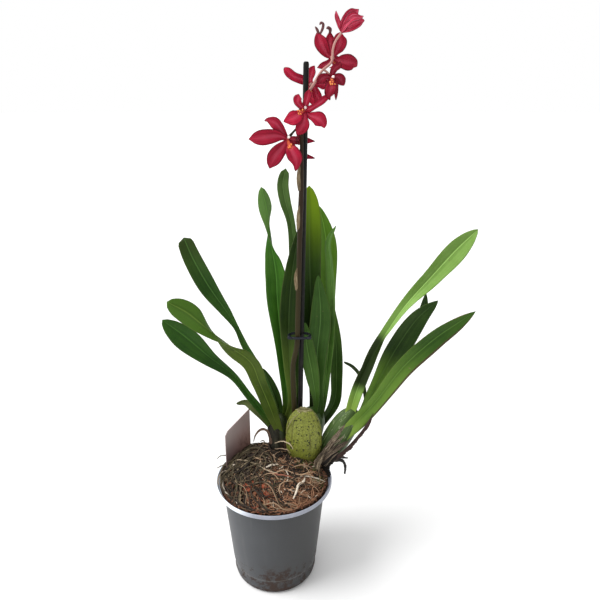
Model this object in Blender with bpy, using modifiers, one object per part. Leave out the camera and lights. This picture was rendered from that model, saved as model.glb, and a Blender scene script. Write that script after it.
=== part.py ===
"""A flowering orchid in a plastic nursery pot.

A round tapered pot holds a growing mix with a mound of aerial roots on top.  Four pseudobulbs sit in
the mound, strap leaves fan out of three of them, and one flower spike climbs beside a stake, held to
it by a clip.  A card label stands at the back of the pot.

The origin is the centre of the pot's foot, +X is to the right, +Y to the back and +Z up.
Every size below is in millimetres and is made metres when a shape is built.  Heights of the living
plant are measured from the surface of the growing mix, so the plant rises and sinks with it.
"""

import math

import bmesh
import bpy
import numpy as np
from mathutils import Matrix, Vector

MM = 0.001
FIT_GAP = 0.3

# Nursery pot
POT_RIM_RADIUS = 60.0
POT_HEIGHT = 113.0
POT_LIP_HEIGHT = 4.5
POT_LIP_OVERHANG = 7.0
POT_TAPER = 10.0
POT_WALL = 1.4
POT_CORNER_RADIUS = 5.0
POT_FLARE_HEIGHT = 2.0
POT_TURN_STEPS = 40
DRAIN_HOLE_RADIUS = 4.0
DRAIN_RING_RADIUS = 27.0
DRAIN_HOLES = 6

# Growing mix and the mound of roots on it
MIX_BELOW_RIM = 8.0
MOUND_HEIGHT = 21.0
MOUND_EDGE_HEIGHT = 2.0
MOUND_LEAN = 0.30
MOUND_ROUNDNESS = 2.6
GROUND_TURN_STEPS = 32

# Stake: a straight rod pushed down until its foot comes near the floor or the tapered wall
STAKE_RADIUS = 2.5
STAKE_LENGTH = 499.0
STAKE_FOOT_ABOVE_FLOOR = 13.0
STAKE_WALL_CLEARANCE = 0.4
STAKE_FOOT_X = 24.9
STAKE_LEAN = 7.4
STAKE_SPIKE_CLEARANCE = 0.4

# Clip round the stake and the spike
CLIP_ROD_RADIUS = 1.1
CLIP_HALF_WIDTH = 10.9
CLIP_ABOVE_MIX = 155.0

# Card label
LABEL_THICKNESS = 0.8
LABEL_WIDTH = 41.5
LABEL_ABOVE_RIM = 50.0
LABEL_TOP_SLOPE = 8.0
LABEL_CUT_CORNER = 4.0
LABEL_TONGUE_WIDTH = 16.0
LABEL_TONGUE_DEPTH = 17.0
LABEL_SHOULDER_BELOW_RIM = 2.0
LABEL_SHOULDER_SLOPE = 7.0
LABEL_WALL_CLEARANCE = 2.0
LABEL_BEARING = 147.5
LABEL_SIDE_SHIFT = 2.1

# Plant tissue
LEAF_THICKNESS = 1.2
PETAL_THICKNESS = 0.8
BLADE_LEAST_HALF_WIDTH = 0.4
CURVE_STEPS = 16
SPIKE_FOOT_RADIUS = 2.7
SPIKE_TIP_RADIUS = 0.9
SPIKE_TAPER_SHARES = (0.0, 0.62, 0.82, 1.0)
SPIKE_MIDDLE_THICKNESS = 0.92
SPIKE_UPPER_THICKNESS = 0.5
PEDICEL_RADIUS = 0.9
PEDICEL_END_SWELL = 1.3
PEDICEL_BOW = 1.5
HEART_RADIUS = 2.6
HEART_SHOULDER = 1.0
COLUMN_RADIUS = 1.8
COLUMN_LENGTH = 7.0
CLAW_WIDTH = 1.8

# Where the spike stands, front to back, along its straight stretch beside the stake
SPIKE_Y = 25.4

# Worked out from the sizes above
POT_BODY_RADIUS = POT_RIM_RADIUS - POT_LIP_OVERHANG
POT_FOOT_RADIUS = POT_BODY_RADIUS - POT_TAPER
POT_SHOULDER = POT_HEIGHT - POT_LIP_HEIGHT - POT_FLARE_HEIGHT
MIX_TOP = POT_HEIGHT - MIX_BELOW_RIM
STAKE_Y = SPIKE_Y + SPIKE_FOOT_RADIUS + STAKE_SPIKE_CLEARANCE + STAKE_RADIUS

# Pseudobulbs: foot and crown as (x, y, height above the mix), then width across and depth
BULBS = {
    "bulb_old_front": dict(foot=(31, 17, 10), crown=(31, 18, 79), width=38, depth=22, square=2.4),
    "bulb_left": dict(foot=(8, 31, 10), crown=(5, 34, 62), width=19, depth=23, square=2.4),
    "bulb_middle": dict(foot=(31, 42, 9), crown=(44, 50, 62), width=30, depth=22, square=2.4),
    "bulb_right": dict(foot=(52, 24, 13), crown=(85, 29, 71), width=30, depth=18, square=2.4),
}

# Leaves: the bulb each grows from, and its midrib from foot to tip as (x, y, height, width)
# roll turns the blade about its midrib and fold is the angle of its V section, both foot to tip
LEAVES = {
    "leaf_left_upper": dict(
        bulb="bulb_left", tip=0.03,
        midrib=((6, 34, 38, 8), (0, 36, 67, 9), (-15, 41, 109, 11), (-31, 48, 137, 9),
                (-39, 52, 154, 7), (-50, 57, 171, 14), (-68, 64, 196, 21), (-84, 70, 225, 20),
                (-92, 73, 245, 16))),
    "leaf_left_arching": dict(
        bulb="bulb_left", roll=(0, 0, 0, 0, 10, 85, 150, 150), fold=(15, 20, 15, 10),
        midrib=((6, 24, 44, 8), (0, 20, 66, 12), (-5, 14, 86, 15), (-13, 4, 116, 16),
                (-20, -4, 141, 18), (-39, -14, 163, 17), (-55, -24, 182, 15), (-71, -34, 203, 20),
                (-86, -42, 216, 12))),
    "leaf_left_lower": dict(
        bulb="bulb_left",
        midrib=((3, 28, 39, 8), (-9, 27, 64, 9), (-26, 24, 91, 10), (-40, 18, 116, 11),
                (-62, 8, 142, 19), (-82, -4, 169, 26), (-99, -12, 188, 10))),
    "leaf_left_bract": dict(
        bulb="bulb_left",
        midrib=((3, 32, 39, 7), (-9, 32, 56, 9), (-21, 33, 70, 11), (-30, 36, 75, 8), (-41, 38, 72, 3))),
    "leaf_centre_twisted": dict(
        bulb="bulb_left", roll=(0, 0, 0, 0, 0, 0, 0, 0, 15, 95, 150, 155),
        midrib=((9, 40, 38, 8), (13, 44, 67, 10), (8, 48, 130, 15), (4, 50, 185, 25), (3, 49, 214, 24),
                (-1, 45, 246, 12), (-3, 42, 264, 11), (-5, 38, 282, 15), (-9, 33, 302, 9))),
    "leaf_centre_front": dict(
        bulb="bulb_left", fold=(15, 25, 20, 15),
        midrib=((8, 37, 44, 8), (18, 40, 69, 9), (16, 41, 120, 14), (16, 42, 177, 20),
                (20, 41, 222, 15), (27, 39, 264, 4))),
    "leaf_centre_back": dict(
        bulb="bulb_middle", roll=(0, 0, 0, 60, 30, 0, 0),
        midrib=((34, 49, 31, 8), (23, 50, 72, 8), (22, 54, 150, 13), (22, 60, 223, 12),
                (18, 66, 262, 9), (12, 70, 284, 12), (10, 73, 299, 11), (14, 76, 314, 4))),
    "leaf_centre_tall": dict(
        bulb="bulb_middle", fold=(15, 30, 25, 15),
        midrib=((38, 47, 32, 8), (42, 50, 70, 10), (40, 53, 139, 18), (37, 57, 215, 24),
                (36, 61, 270, 24), (36, 63, 299, 11))),
    "leaf_right_inner": dict(
        bulb="bulb_middle",
        midrib=((43, 54, 36, 8), (48, 58, 71, 9), (52, 64, 135, 19), (54, 72, 195, 24), (54, 78, 240, 22),
                (47, 80, 276, 5))),
    "leaf_right_curled": dict(
        bulb="bulb_middle", roll=(0, 0, 0, 30, 50, 50),
        midrib=((46, 50, 36, 8), (52, 52, 69, 9), (57, 54, 128, 13), (60, 56, 189, 14),
                (58, 57, 223, 11), (56, 58, 244, 8), (63, 58, 261, 3))),
    "leaf_right_shadow": dict(
        bulb="bulb_middle",
        midrib=((48, 54, 33, 8), (65, 60, 62, 14), (67, 64, 93, 16), (66, 70, 132, 13), (61, 76, 173, 4))),
    "leaf_right_short": dict(
        bulb="bulb_middle", fold=(15, 25, 20, 10),
        midrib=((44, 43, 34, 8), (49, 44, 61, 8), (46, 45, 87, 12), (45, 46, 125, 21), (48, 46, 169, 22),
                (45, 46, 213, 4))),
    "leaf_lower_centre": dict(
        bulb="bulb_middle", fold=(15, 20, 15, 10),
        midrib=((38, 41, 38, 6), (44, 39, 70, 6), (41, 38, 106, 13), (37, 39, 140, 12), (35, 39, 162, 4))),
    "leaf_right_upper": dict(
        bulb="bulb_right", roll=(0, 0, 0, 60, 40, 10, 0, 0),
        midrib=((76, 26, 50, 9), (80, 27, 70, 12), (88, 29, 100, 15), (101, 32, 131, 14),
                (116, 37, 156, 13), (134, 43, 182, 14), (161, 52, 211, 21), (184, 58, 236, 24),
                (205, 62, 256, 8))),
    "leaf_right_middle": dict(
        bulb="bulb_right",
        midrib=((78, 30, 45, 8), (93, 36, 61, 12), (109, 41, 96, 21), (127, 44, 134, 30),
                (147, 42, 169, 21), (165, 38, 189, 4))),
    "leaf_right_lower": dict(
        bulb="bulb_right", fold=(15, 30, 20, 15),
        midrib=((70, 21, 41, 12), (84, 21, 58, 18), (104, 20, 84, 19), (130, 14, 128, 21),
                (156, 6, 161, 21), (173, -1, 179, 15), (189, -6, 194, 3))),
    "leaf_right_hook": dict(
        bulb="bulb_right", fold=(20, 20),
        midrib=((80, 33, 52, 4), (97, 45, 59, 4), (97, 50, 80, 4), (93, 55, 95, 4), (84, 58, 106, 4),
                (74, 60, 111, 3))),
}

# Flower spike: its line from foot to tip as (x, y, height above the mix)
SPIKE_LINE = ((20, 32, 25), (20, 32, 45), (21, 28.5, 69), (20, 26, 101), (20, 25.5, 124),
              (24, 25.5, 146), (24.8, SPIKE_Y, 173), (25.6, SPIKE_Y, 204), (26.5, SPIKE_Y, 244),
              (27.4, SPIKE_Y, 277), (28.4, SPIKE_Y, 309), (28.5, SPIKE_Y, 335), (28.8, SPIKE_Y, 361),
              (31.5, SPIKE_Y, 379), (38, 27, 389), (46, 29, 401), (54, 31, 408), (55, 31, 418),
              (57, 31, 424), (62, 30, 431))

# Flowers: the heart of each, the way its column points, and where its stalk leaves the spike;
# then its petals, sepals and lip from claw to tip as (x, y, height, width)
FLOWERS = {
    "flower_1": dict(
        heart=(16, 18, 345), faces=(0.05, -1.0, 0.05), stalk=(28.6, 25.4, 358),
        tepals={
            "petal_left": ((12, 15, 347, 3), (6, 13, 348, 11), (-4, 12, 347, 14), (-12, 14, 346, 11),
                           (-18, 18, 345, 3)),
            "sepal_lower_left": ((14, 15, 342, 3), (11, 13, 338, 11), (6, 12, 332, 14), (2, 14, 325, 11),
                                 (0, 17, 320, 4)),
            "lip": ((18, 12, 340, 4), (20, 9, 336, 12), (23, 9, 330, 13), (24, 12, 324, 8),
                    (23, 15, 318, 5)),
            "sepal_upper": ((13, 17, 350, 3), (9, 15, 355, 9), (5, 15, 359, 10), (-1, 18, 361, 5),
                            (-4, 21, 360, 2.5)),
            "petal_right": ((20, 19, 345, 3), (23, 26, 344, 8), (25, 34, 344, 10), (31, 38, 343, 8),
                            (41, 38, 342, 3)),
            "sepal_lower_right": ((19, 18, 341, 3), (22, 25, 335, 7), (25, 34, 331, 9), (32, 38, 329, 6),
                                  (41, 38, 327, 4)),
        }),
    "flower_2": dict(
        heart=(31, 19, 369), faces=(-0.2, -1.0, 0.1), stalk=(28.9, 25.4, 364),
        tepals={
            "petal_left": ((27, 14, 373, 3), (25, 12, 376, 7), (25, 13, 379, 8), (26, 15, 382, 4)),
            "lip": ((27, 11, 367, 4), (24, 7, 364, 12), (19, 7, 362, 12), (13, 9, 360, 5)),
            "sepal_lower": ((31, 14, 363, 3), (30, 11, 358, 11), (27, 10, 353, 11), (24, 12, 349, 5)),
            "petal_right": ((35, 16, 365, 3), (38, 14, 364, 8), (43, 13, 362, 13), (47, 14, 358, 9),
                            (48, 17, 354, 3)),
            "sepal_right": ((35, 16, 370, 3), (39, 16, 372, 5), (45, 17, 376, 6), (49, 19, 379, 6),
                            (54, 20, 381, 5)),
            "sepal_upper": ((32, 17, 374, 3), (33, 18, 378, 6), (34, 19, 382, 7), (35, 20, 386, 3)),
        }),
    "flower_3": dict(
        heart=(37, 40, 390), faces=(0.0, 1.0, 0.0), stalk=(38, 27, 389),
        tepals={
            "petal_left": ((33, 42, 392, 3), (29, 40, 394, 8), (21, 38, 397, 8), (15, 38, 402, 9),
                           (13, 39, 404, 6)),
            "sepal_upper": ((36, 43, 395, 3), (37, 44, 399, 7), (38, 45, 403, 7), (40, 46, 406, 3)),
            "petal_right": ((41, 43, 391, 3), (45, 44, 391, 8), (49, 45, 390, 9), (53, 47, 388, 4)),
            "sepal_left": ((34, 42, 387, 3), (33, 41, 382, 7), (33, 41, 378, 7), (34, 43, 373, 3)),
            "sepal_right": ((40, 43, 387, 3), (42, 43, 382, 8), (44, 44, 378, 7), (46, 46, 373, 3)),
            "lip": ((37, 48, 387, 4), (38, 52, 382, 12), (39, 54, 377, 11), (39, 53, 372, 4)),
        }),
    "flower_4": dict(
        heart=(54, 26, 395), faces=(0.0, -1.0, -0.3), stalk=(47, 29.3, 402),
        tepals={
            "petal_left": ((50, 25, 396, 3), (47, 24, 395, 8), (44, 25, 393, 7), (42, 27, 390, 3)),
            "sepal_left": ((52, 24, 391, 3), (51, 23, 387, 6), (51, 23, 382, 6), (53, 25, 377, 3)),
            "lip": ((54, 19, 391, 4), (53, 16, 387, 10), (52, 15, 383, 9), (50, 17, 379, 4)),
            "sepal_right": ((57, 24, 391, 3), (58, 24, 387, 4), (58, 24, 382, 3.5), (58, 25, 377, 2)),
            "petal_right": ((58, 25, 396, 3), (61, 25, 395, 8), (63, 26, 392, 8), (65, 28, 389, 4)),
            "sepal_upper": ((55, 24, 400, 3), (57, 23, 403, 6), (60, 23, 405, 6), (61, 24, 408, 3)),
        }),
    "flower_5": dict(
        heart=(55, 38, 412), faces=(0.2, 1.0, 0.0), stalk=(54.2, 31, 410),
        tepals={
            "petal_left": ((51, 39, 414, 3), (48, 37, 418, 10), (45, 36, 423, 12), (43, 37, 428, 9),
                           (42, 39, 433, 3)),
            "petal_right": ((58, 39, 416, 3), (60, 37, 420, 11), (61, 36, 424, 13), (61, 36, 428, 11),
                            (62, 38, 432, 5)),
            "sepal_right": ((59, 39, 410, 3), (63, 37, 409, 11), (68, 36, 408, 14), (74, 38, 407, 11),
                            (77, 41, 405, 5)),
            "sepal_upper": ((54, 42, 417, 3), (53, 44, 422, 8), (53, 46, 427, 9), (53, 47, 434, 3)),
            "sepal_left": ((52, 40, 408, 3), (48, 41, 406, 6), (45, 42, 405, 5), (42, 43, 404, 2)),
            "lip": ((57, 45, 409, 4), (58, 50, 409, 12), (59, 55, 407, 13), (60, 58, 405, 5)),
        }),
}

BUD_TIP = (80, 30, 455)
BUD_WIDTH = 17.0
BUD_TIP_SWELL = 0.35

MODEL_COLLECTION = "potted_orchid"
CUTTER_COLLECTION = "cutters"


# ---------------------------------------------------------------- scene, materials and plain helpers

def empty_scene():
    """Remove whatever objects the scene starts with."""
    for thing in list(bpy.data.objects):
        bpy.data.objects.remove(thing, do_unlink=True)


def new_collection(name):
    """A collection linked to the scene."""
    group = bpy.data.collections.new(name)
    bpy.context.scene.collection.children.link(group)
    return group


def finish_material(name, colour, roughness, metallic=0.0):
    """A Principled material of one colour."""
    material = bpy.data.materials.new(name)
    material.use_nodes = True
    shader = material.node_tree.nodes["Principled BSDF"]
    shader.inputs["Base Color"].default_value = (*colour, 1.0)
    shader.inputs["Roughness"].default_value = roughness
    shader.inputs["Metallic"].default_value = metallic
    return material


def put(name, mesh, material=None, cutter=False):
    """An object in the model's collection, or in the cutters'."""
    thing = bpy.data.objects.new(name, mesh)
    (cutters if cutter else model).objects.link(thing)
    if cutter:
        thing.hide_render = True
        thing.display_type = "WIRE"
    if material:
        mesh.materials.append(material)
    return thing


def mesh_from(work, name, smooth_angle=40):
    """A mesh datablock out of a bmesh, in metres, shaded smooth up to an angle."""
    bmesh.ops.recalc_face_normals(work, faces=work.faces)
    mesh = bpy.data.meshes.new(name)
    work.to_mesh(mesh)
    work.free()
    mesh.shade_smooth()
    mesh.set_sharp_from_angle(angle=math.radians(smooth_angle))
    return mesh


def boolean(target, other, operation):
    """Cut other from target, or join it to target."""
    step = target.modifiers.new(other.name, "BOOLEAN")
    step.operation = operation
    step.object = other
    step.solver = "EXACT"


def above_mix(point):
    """A plant point in metres, with its height measured up from the mix."""
    return Vector((point[0], point[1], point[2] + MIX_TOP)) * MM


def smooth_line(rows, count):
    """Even stations along a centripetal Catmull-Rom curve through rows, read by arc length."""
    rows = np.asarray(rows, float)
    rows = np.vstack([2 * rows[0] - rows[1], rows, 2 * rows[-1] - rows[-2]])
    knots = np.append(0.0, np.cumsum(np.sqrt(np.linalg.norm(np.diff(rows[:, :3], axis=0), axis=1))))
    pieces = []
    for i in range(1, len(rows) - 2):
        k0, k1, k2, k3 = knots[i - 1:i + 3]
        t = np.linspace(k1, k2, CURVE_STEPS, endpoint=False)[:, None]
        a = ((k1 - t) * rows[i - 1] + (t - k0) * rows[i]) / (k1 - k0)
        b = ((k2 - t) * rows[i] + (t - k1) * rows[i + 1]) / (k2 - k1)
        c = ((k3 - t) * rows[i + 1] + (t - k2) * rows[i + 2]) / (k3 - k2)
        d = ((k2 - t) * a + (t - k0) * b) / (k2 - k0)
        e = ((k3 - t) * b + (t - k1) * c) / (k3 - k1)
        pieces.append(((k2 - t) * d + (t - k1) * e) / (k2 - k1))
    line = np.vstack(pieces + [rows[-2][None]])
    run = np.append(0.0, np.cumsum(np.linalg.norm(np.diff(line[:, :3], axis=0), axis=1)))
    stops = np.linspace(0.0, run[-1], count)
    return np.stack([np.interp(stops, run, column) for column in line.T], axis=1)


def turned(name, profile, steps, material, cutter=False):
    """A solid of revolution from a profile that runs from the axis to the axis, outer side downwards."""
    work = bmesh.new()
    points = [work.verts.new(Vector((radius, 0.0, height)) * MM) for radius, height in profile]
    for start, end in zip(points, points[1:]):
        work.edges.new((start, end))
    mesh = bpy.data.meshes.new(name)
    work.to_mesh(mesh)
    work.free()
    thing = put(name, mesh, material, cutter)
    screw = thing.modifiers.new("turn", "SCREW")
    screw.steps = steps
    screw.render_steps = steps
    screw.use_merge_vertices = True
    screw.merge_threshold = 0.00005
    screw.use_smooth_shade = True
    return thing


def tube(name, line, radii, material=None, closed=False, cutter=False):
    """A round rod along a line of points in metres, with a radius at each, as a closed mesh."""
    curve = bpy.data.curves.new(name, "CURVE")
    curve.dimensions = "3D"
    curve.bevel_depth = MM
    curve.bevel_resolution = 2
    curve.use_fill_caps = not closed
    route = curve.splines.new("POLY")
    route.points.add(len(line) - 1)
    for point, place, radius in zip(route.points, line, radii):
        point.co = (*place, 1.0)
        point.radius = radius
    route.use_cyclic_u = closed
    rod = bpy.data.objects.new(name, curve)
    model.objects.link(rod)
    evaluated = rod.evaluated_get(bpy.context.evaluated_depsgraph_get())
    mesh = bpy.data.meshes.new_from_object(evaluated)
    bpy.data.objects.remove(rod, do_unlink=True)
    work = bmesh.new()
    work.from_mesh(mesh)
    bmesh.ops.remove_doubles(work, verts=work.verts, dist=0.00001)
    bpy.data.meshes.remove(mesh)
    return put(name, mesh_from(work, name), material, cutter)


# ---------------------------------------------------------------- pot, mix and mound

def pot_inner_radius(height):
    """The pot wall's inner radius at a height, up to the shoulder under its lip."""
    share = height / POT_SHOULDER
    return POT_FOOT_RADIUS + (POT_BODY_RADIUS - POT_FOOT_RADIUS) * share - POT_WALL


def build_pot():
    """The pot: flat floor, tapered wall, and a flared lip, with drain holes through the floor."""
    rim_inner = POT_RIM_RADIUS - POT_WALL
    turn = np.radians(np.linspace(0, 90, 4))
    corner = [(POT_FOOT_RADIUS - POT_CORNER_RADIUS * (1 - math.cos(a)),
               POT_CORNER_RADIUS * (1 - math.sin(a))) for a in turn]
    profile = [(0.0, POT_WALL),
               (POT_FOOT_RADIUS - POT_CORNER_RADIUS, POT_WALL),
               (pot_inner_radius(POT_CORNER_RADIUS), POT_CORNER_RADIUS),
               (pot_inner_radius(POT_SHOULDER), POT_SHOULDER),
               (rim_inner, POT_HEIGHT - POT_LIP_HEIGHT + POT_WALL),
               (rim_inner, POT_HEIGHT),
               (POT_RIM_RADIUS, POT_HEIGHT),
               (POT_RIM_RADIUS, POT_HEIGHT - POT_LIP_HEIGHT),
               (POT_BODY_RADIUS, POT_SHOULDER)]
    profile += corner
    profile.append((0.0, 0.0))
    pot = turned("pot", profile, POT_TURN_STEPS, finish_material("pot_plastic", (0.16, 0.19, 0.22), 0.55))
    for index in range(DRAIN_HOLES):
        angle = 2 * math.pi * index / DRAIN_HOLES
        work = bmesh.new()
        place = Matrix.Translation(Vector((math.cos(angle) * DRAIN_RING_RADIUS,
                                           math.sin(angle) * DRAIN_RING_RADIUS, POT_WALL / 2)) * MM)
        bmesh.ops.create_cone(work, cap_ends=True, segments=12, radius1=DRAIN_HOLE_RADIUS * MM,
                              radius2=DRAIN_HOLE_RADIUS * MM, depth=3 * POT_WALL * MM, matrix=place)
        name = f"drain_cutter_{index}"
        boolean(pot, put(name, mesh_from(work, name), cutter=True), "DIFFERENCE")
    return pot


def build_mix():
    """The mix: it fills the pot from the floor to its level, a fit gap inside the wall."""
    floor = POT_WALL + FIT_GAP
    low = POT_CORNER_RADIUS + POT_WALL
    profile = [(0.0, MIX_TOP),
               (pot_inner_radius(MIX_TOP) - FIT_GAP, MIX_TOP),
               (pot_inner_radius(low) - FIT_GAP, low),
               (POT_FOOT_RADIUS - POT_CORNER_RADIUS - POT_WALL, floor),
               (0.0, floor)]
    bark = finish_material("bark_mix", (0.09, 0.06, 0.04), 0.95)
    return turned("potting_mix", profile, GROUND_TURN_STEPS, bark)


def build_mound():
    """The mound of roots: a dome on the mix, leaning towards the bulbs."""
    radius = pot_inner_radius(MIX_TOP) - FIT_GAP
    foot = MIX_TOP + FIT_GAP
    rise = MOUND_HEIGHT - MOUND_EDGE_HEIGHT
    profile = [(radius * s, foot + MOUND_EDGE_HEIGHT + rise * (1 - s ** MOUND_ROUNDNESS))
               for s in np.linspace(0, 1, 8)]
    profile += [(radius, foot), (0.0, foot)]
    roots = finish_material("dry_roots", (0.28, 0.19, 0.11), 0.9)
    mound = turned("root_mat", profile, GROUND_TURN_STEPS, roots)
    lean_mound(mound, foot)
    return mound


def lean_mound(mound, foot):
    """Lift the side of the mound that carries the bulbs and lower the side in front of them."""
    evaluated = mound.evaluated_get(bpy.context.evaluated_depsgraph_get())
    mesh = bpy.data.meshes.new_from_object(evaluated)
    places = np.empty(len(mesh.vertices) * 3)
    mesh.vertices.foreach_get("co", places)
    places = places.reshape(-1, 3)
    up = np.maximum(places[:, 2] / MM - foot - MOUND_EDGE_HEIGHT, 0.0)
    side = (places[:, 0] + places[:, 1]) / (math.sqrt(2) * POT_BODY_RADIUS * MM)
    places[:, 2] += up * side * MOUND_LEAN * MM
    mesh.vertices.foreach_set("co", places.ravel())
    mound.modifiers.clear()
    mound.data = mesh


# ---------------------------------------------------------------- stake, clip and label

def stake_foot_height():
    """The stake's foot: its clearance above the floor, or higher where the tapered wall needs it."""
    reach = math.hypot(STAKE_FOOT_X, STAKE_Y) + STAKE_RADIUS + STAKE_WALL_CLEARANCE
    widening = (POT_BODY_RADIUS - POT_FOOT_RADIUS) / POT_SHOULDER
    return max(POT_WALL + STAKE_FOOT_ABOVE_FLOOR, (reach - pot_inner_radius(0.0)) / widening)


def stake_point(share):
    """A point on the stake's axis, 0 at its foot and 1 at its top, in millimetres."""
    rise = math.sqrt(STAKE_LENGTH ** 2 - STAKE_LEAN ** 2)
    return Vector((STAKE_FOOT_X + STAKE_LEAN * share, STAKE_Y, stake_foot_height() + rise * share))


def rod_along_stake(name, grow, material=None, cutter=False):
    """The stake itself, or the hole for it when it grows by the fit gap."""
    foot, top = stake_point(0.0), stake_point(1.0)
    along = top - foot
    work = bmesh.new()
    bmesh.ops.create_cone(work, cap_ends=True, segments=20, radius1=(STAKE_RADIUS + grow) * MM,
                          radius2=(STAKE_RADIUS + grow) * MM, depth=(STAKE_LENGTH + 2 * grow) * MM)
    rod = put(name, mesh_from(work, name), material, cutter)
    rod.location = (foot + top) / 2 * MM
    rod.rotation_mode = "QUATERNION"
    rod.rotation_quaternion = Vector((0, 0, 1)).rotation_difference(along)
    return rod


def spike_stations(count):
    """Points along the spike's line, in millimetres above the mix."""
    return smooth_line([(*point, 0.0) for point in SPIKE_LINE], count)


def build_clip():
    """The clip: a flat-sided ring that lies against the stake's back and the spike's front."""
    height = CLIP_ABOVE_MIX
    line = spike_stations(200)
    spike_at = line[np.argmin(abs(line[:, 2] - height))]
    share = (height + MIX_TOP - stake_point(0.0).z) / (stake_point(1.0).z - stake_point(0.0).z)
    stake_at = stake_point(share)
    back = stake_at.y + STAKE_RADIUS + FIT_GAP + CLIP_ROD_RADIUS
    front = spike_at[1] - SPIKE_FOOT_RADIUS - FIT_GAP - CLIP_ROD_RADIUS
    round_radius = (back - front) / 2
    straight = CLIP_HALF_WIDTH - round_radius
    centre = Vector(((stake_at.x + spike_at[0]) / 2, (back + front) / 2, height + MIX_TOP))
    line = []
    for side in (1, -1):
        for angle in np.radians(np.linspace(-90, 90, 9)):
            line.append((centre + Vector((side * (straight + round_radius * math.cos(angle)),
                                          side * round_radius * math.sin(angle), 0))) * MM)
    return tube("stake_clip", line, [CLIP_ROD_RADIUS] * len(line),
                finish_material("clip_plastic", (0.015, 0.02, 0.04), 0.35), closed=True)


def label_outline(grow):
    """The label's outline in its own plane: x along the card, y up from the mix."""
    half = LABEL_WIDTH / 2 + grow
    tongue = LABEL_TONGUE_WIDTH / 2 + grow
    shoulder = POT_HEIGHT - LABEL_SHOULDER_BELOW_RIM
    top = POT_HEIGHT + LABEL_ABOVE_RIM
    left_top = top - LABEL_TOP_SLOPE / 2
    right_top = top + LABEL_TOP_SLOPE / 2
    foot = MIX_TOP - LABEL_TONGUE_DEPTH - grow
    neck = shoulder - LABEL_SHOULDER_SLOPE - grow
    return [(-tongue, foot), (tongue, foot), (tongue, neck), (half, shoulder - grow),
            (half, right_top), (-half + LABEL_CUT_CORNER, left_top),
            (-half, left_top - LABEL_CUT_CORNER), (-half, shoulder - grow), (-tongue, neck)]


def card(name, grow, material=None, cutter=False):
    """The label, or the slot for it when it grows by the fit gap."""
    flat = bpy.data.curves.new(name, "CURVE")
    flat.dimensions = "2D"
    flat.fill_mode = "BOTH"
    flat.extrude = (LABEL_THICKNESS / 2 + grow) * MM
    edge = flat.splines.new("POLY")
    outline = label_outline(grow)
    edge.points.add(len(outline) - 1)
    for point, (x, y) in zip(edge.points, outline):
        point.co = (x * MM, y * MM, 0.0, 1.0)
    edge.use_cyclic_u = True
    bearing = math.radians(LABEL_BEARING)
    foot_height = MIX_TOP - LABEL_TONGUE_DEPTH
    distance = pot_inner_radius(foot_height) - LABEL_WALL_CLEARANCE
    outward = Vector((math.cos(bearing), math.sin(bearing), 0))
    along = Vector((math.sin(bearing), -math.cos(bearing), 0))
    centre = (outward * distance + along * LABEL_SIDE_SHIFT) * MM
    turn = Matrix((along, Vector((0, 0, 1)), along.cross(Vector((0, 0, 1))))).transposed()
    shape = bpy.data.objects.new(name, flat)
    model.objects.link(shape)
    mesh = bpy.data.meshes.new_from_object(shape.evaluated_get(bpy.context.evaluated_depsgraph_get()))
    bpy.data.objects.remove(shape, do_unlink=True)
    work = bmesh.new()
    work.from_mesh(mesh)
    bpy.data.meshes.remove(mesh)
    bmesh.ops.remove_doubles(work, verts=work.verts, dist=0.00001)
    thing = put(name, mesh_from(work, name), material, cutter)
    thing.matrix_world = Matrix.Translation(centre) @ turn.to_4x4()
    return thing


# ---------------------------------------------------------------- the plant

def bulb(name, grow=0.0, material=None, cutter=False):
    """A pseudobulb: a sphere stretched from foot to crown, squared off a little, flat front to back."""
    shape = BULBS[name]
    foot, crown = above_mix(shape["foot"]), above_mix(shape["crown"])
    along = crown - foot
    half = Vector((shape["width"] / 2 + grow, shape["depth"] / 2 + grow, along.length / MM / 2 + grow)) * MM
    work = bmesh.new()
    bmesh.ops.create_uvsphere(work, u_segments=18, v_segments=12, radius=1.0)
    square = shape["square"]
    for point in work.verts:
        height = point.co.z
        across = math.sqrt(max(1 - height * height, 1e-9))
        swell = max(1 - abs(height) ** square, 0.0) ** (1 / square) / across
        point.co = Vector((point.co.x * swell * half.x, point.co.y * swell * half.y, height * half.z))
    label = name if not cutter else name + "_room"
    thing = put(label, mesh_from(work, label), material, cutter)
    upright = along.normalized()
    depthwise = (Vector((0, 1, 0)) - upright * upright.y).normalized()
    across = depthwise.cross(upright)
    turn = Matrix((across, depthwise, upright)).transposed()
    thing.matrix_world = Matrix.Translation((foot + crown) / 2) @ turn.to_4x4()
    return thing


def blade_surface(midrib, roll, fold, tip, along_count, across_count):
    """Points of a leaf or petal: a V section of changing width, fold and roll carried along a midrib."""
    rows = smooth_line(midrib, along_count)
    centre, width = rows[:, :3], rows[:, 3]
    share = np.linspace(0, 1, along_count)
    left = np.clip((1 - share) / tip, 0, 1)
    half = np.maximum(width / 2 * np.sqrt(left * (2 - left)), BLADE_LEAST_HALF_WIDTH)[:, None]
    forward = np.gradient(centre, axis=0)
    forward /= np.linalg.norm(forward, axis=1)[:, None]
    front = np.array([0.0, -1.0, 0.0])
    normal = front - (forward @ front)[:, None] * forward
    normal /= np.linalg.norm(normal, axis=1)[:, None]
    side = np.cross(forward, normal)
    turn = np.radians(np.interp(share, np.linspace(0, 1, len(roll)), roll))[:, None]
    side, normal = (np.cos(turn) * side + np.sin(turn) * normal,
                    np.cos(turn) * normal - np.sin(turn) * side)
    crease = np.radians(np.interp(share, np.linspace(0, 1, len(fold)), fold))[:, None]
    across = np.linspace(-1, 1, across_count)[None, :]
    sideways = (half * across * np.cos(crease))[..., None] * side[:, None]
    rising = (half * abs(across) * np.sin(crease))[..., None] * normal[:, None]
    return centre[:, None] + sideways + rising


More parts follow.
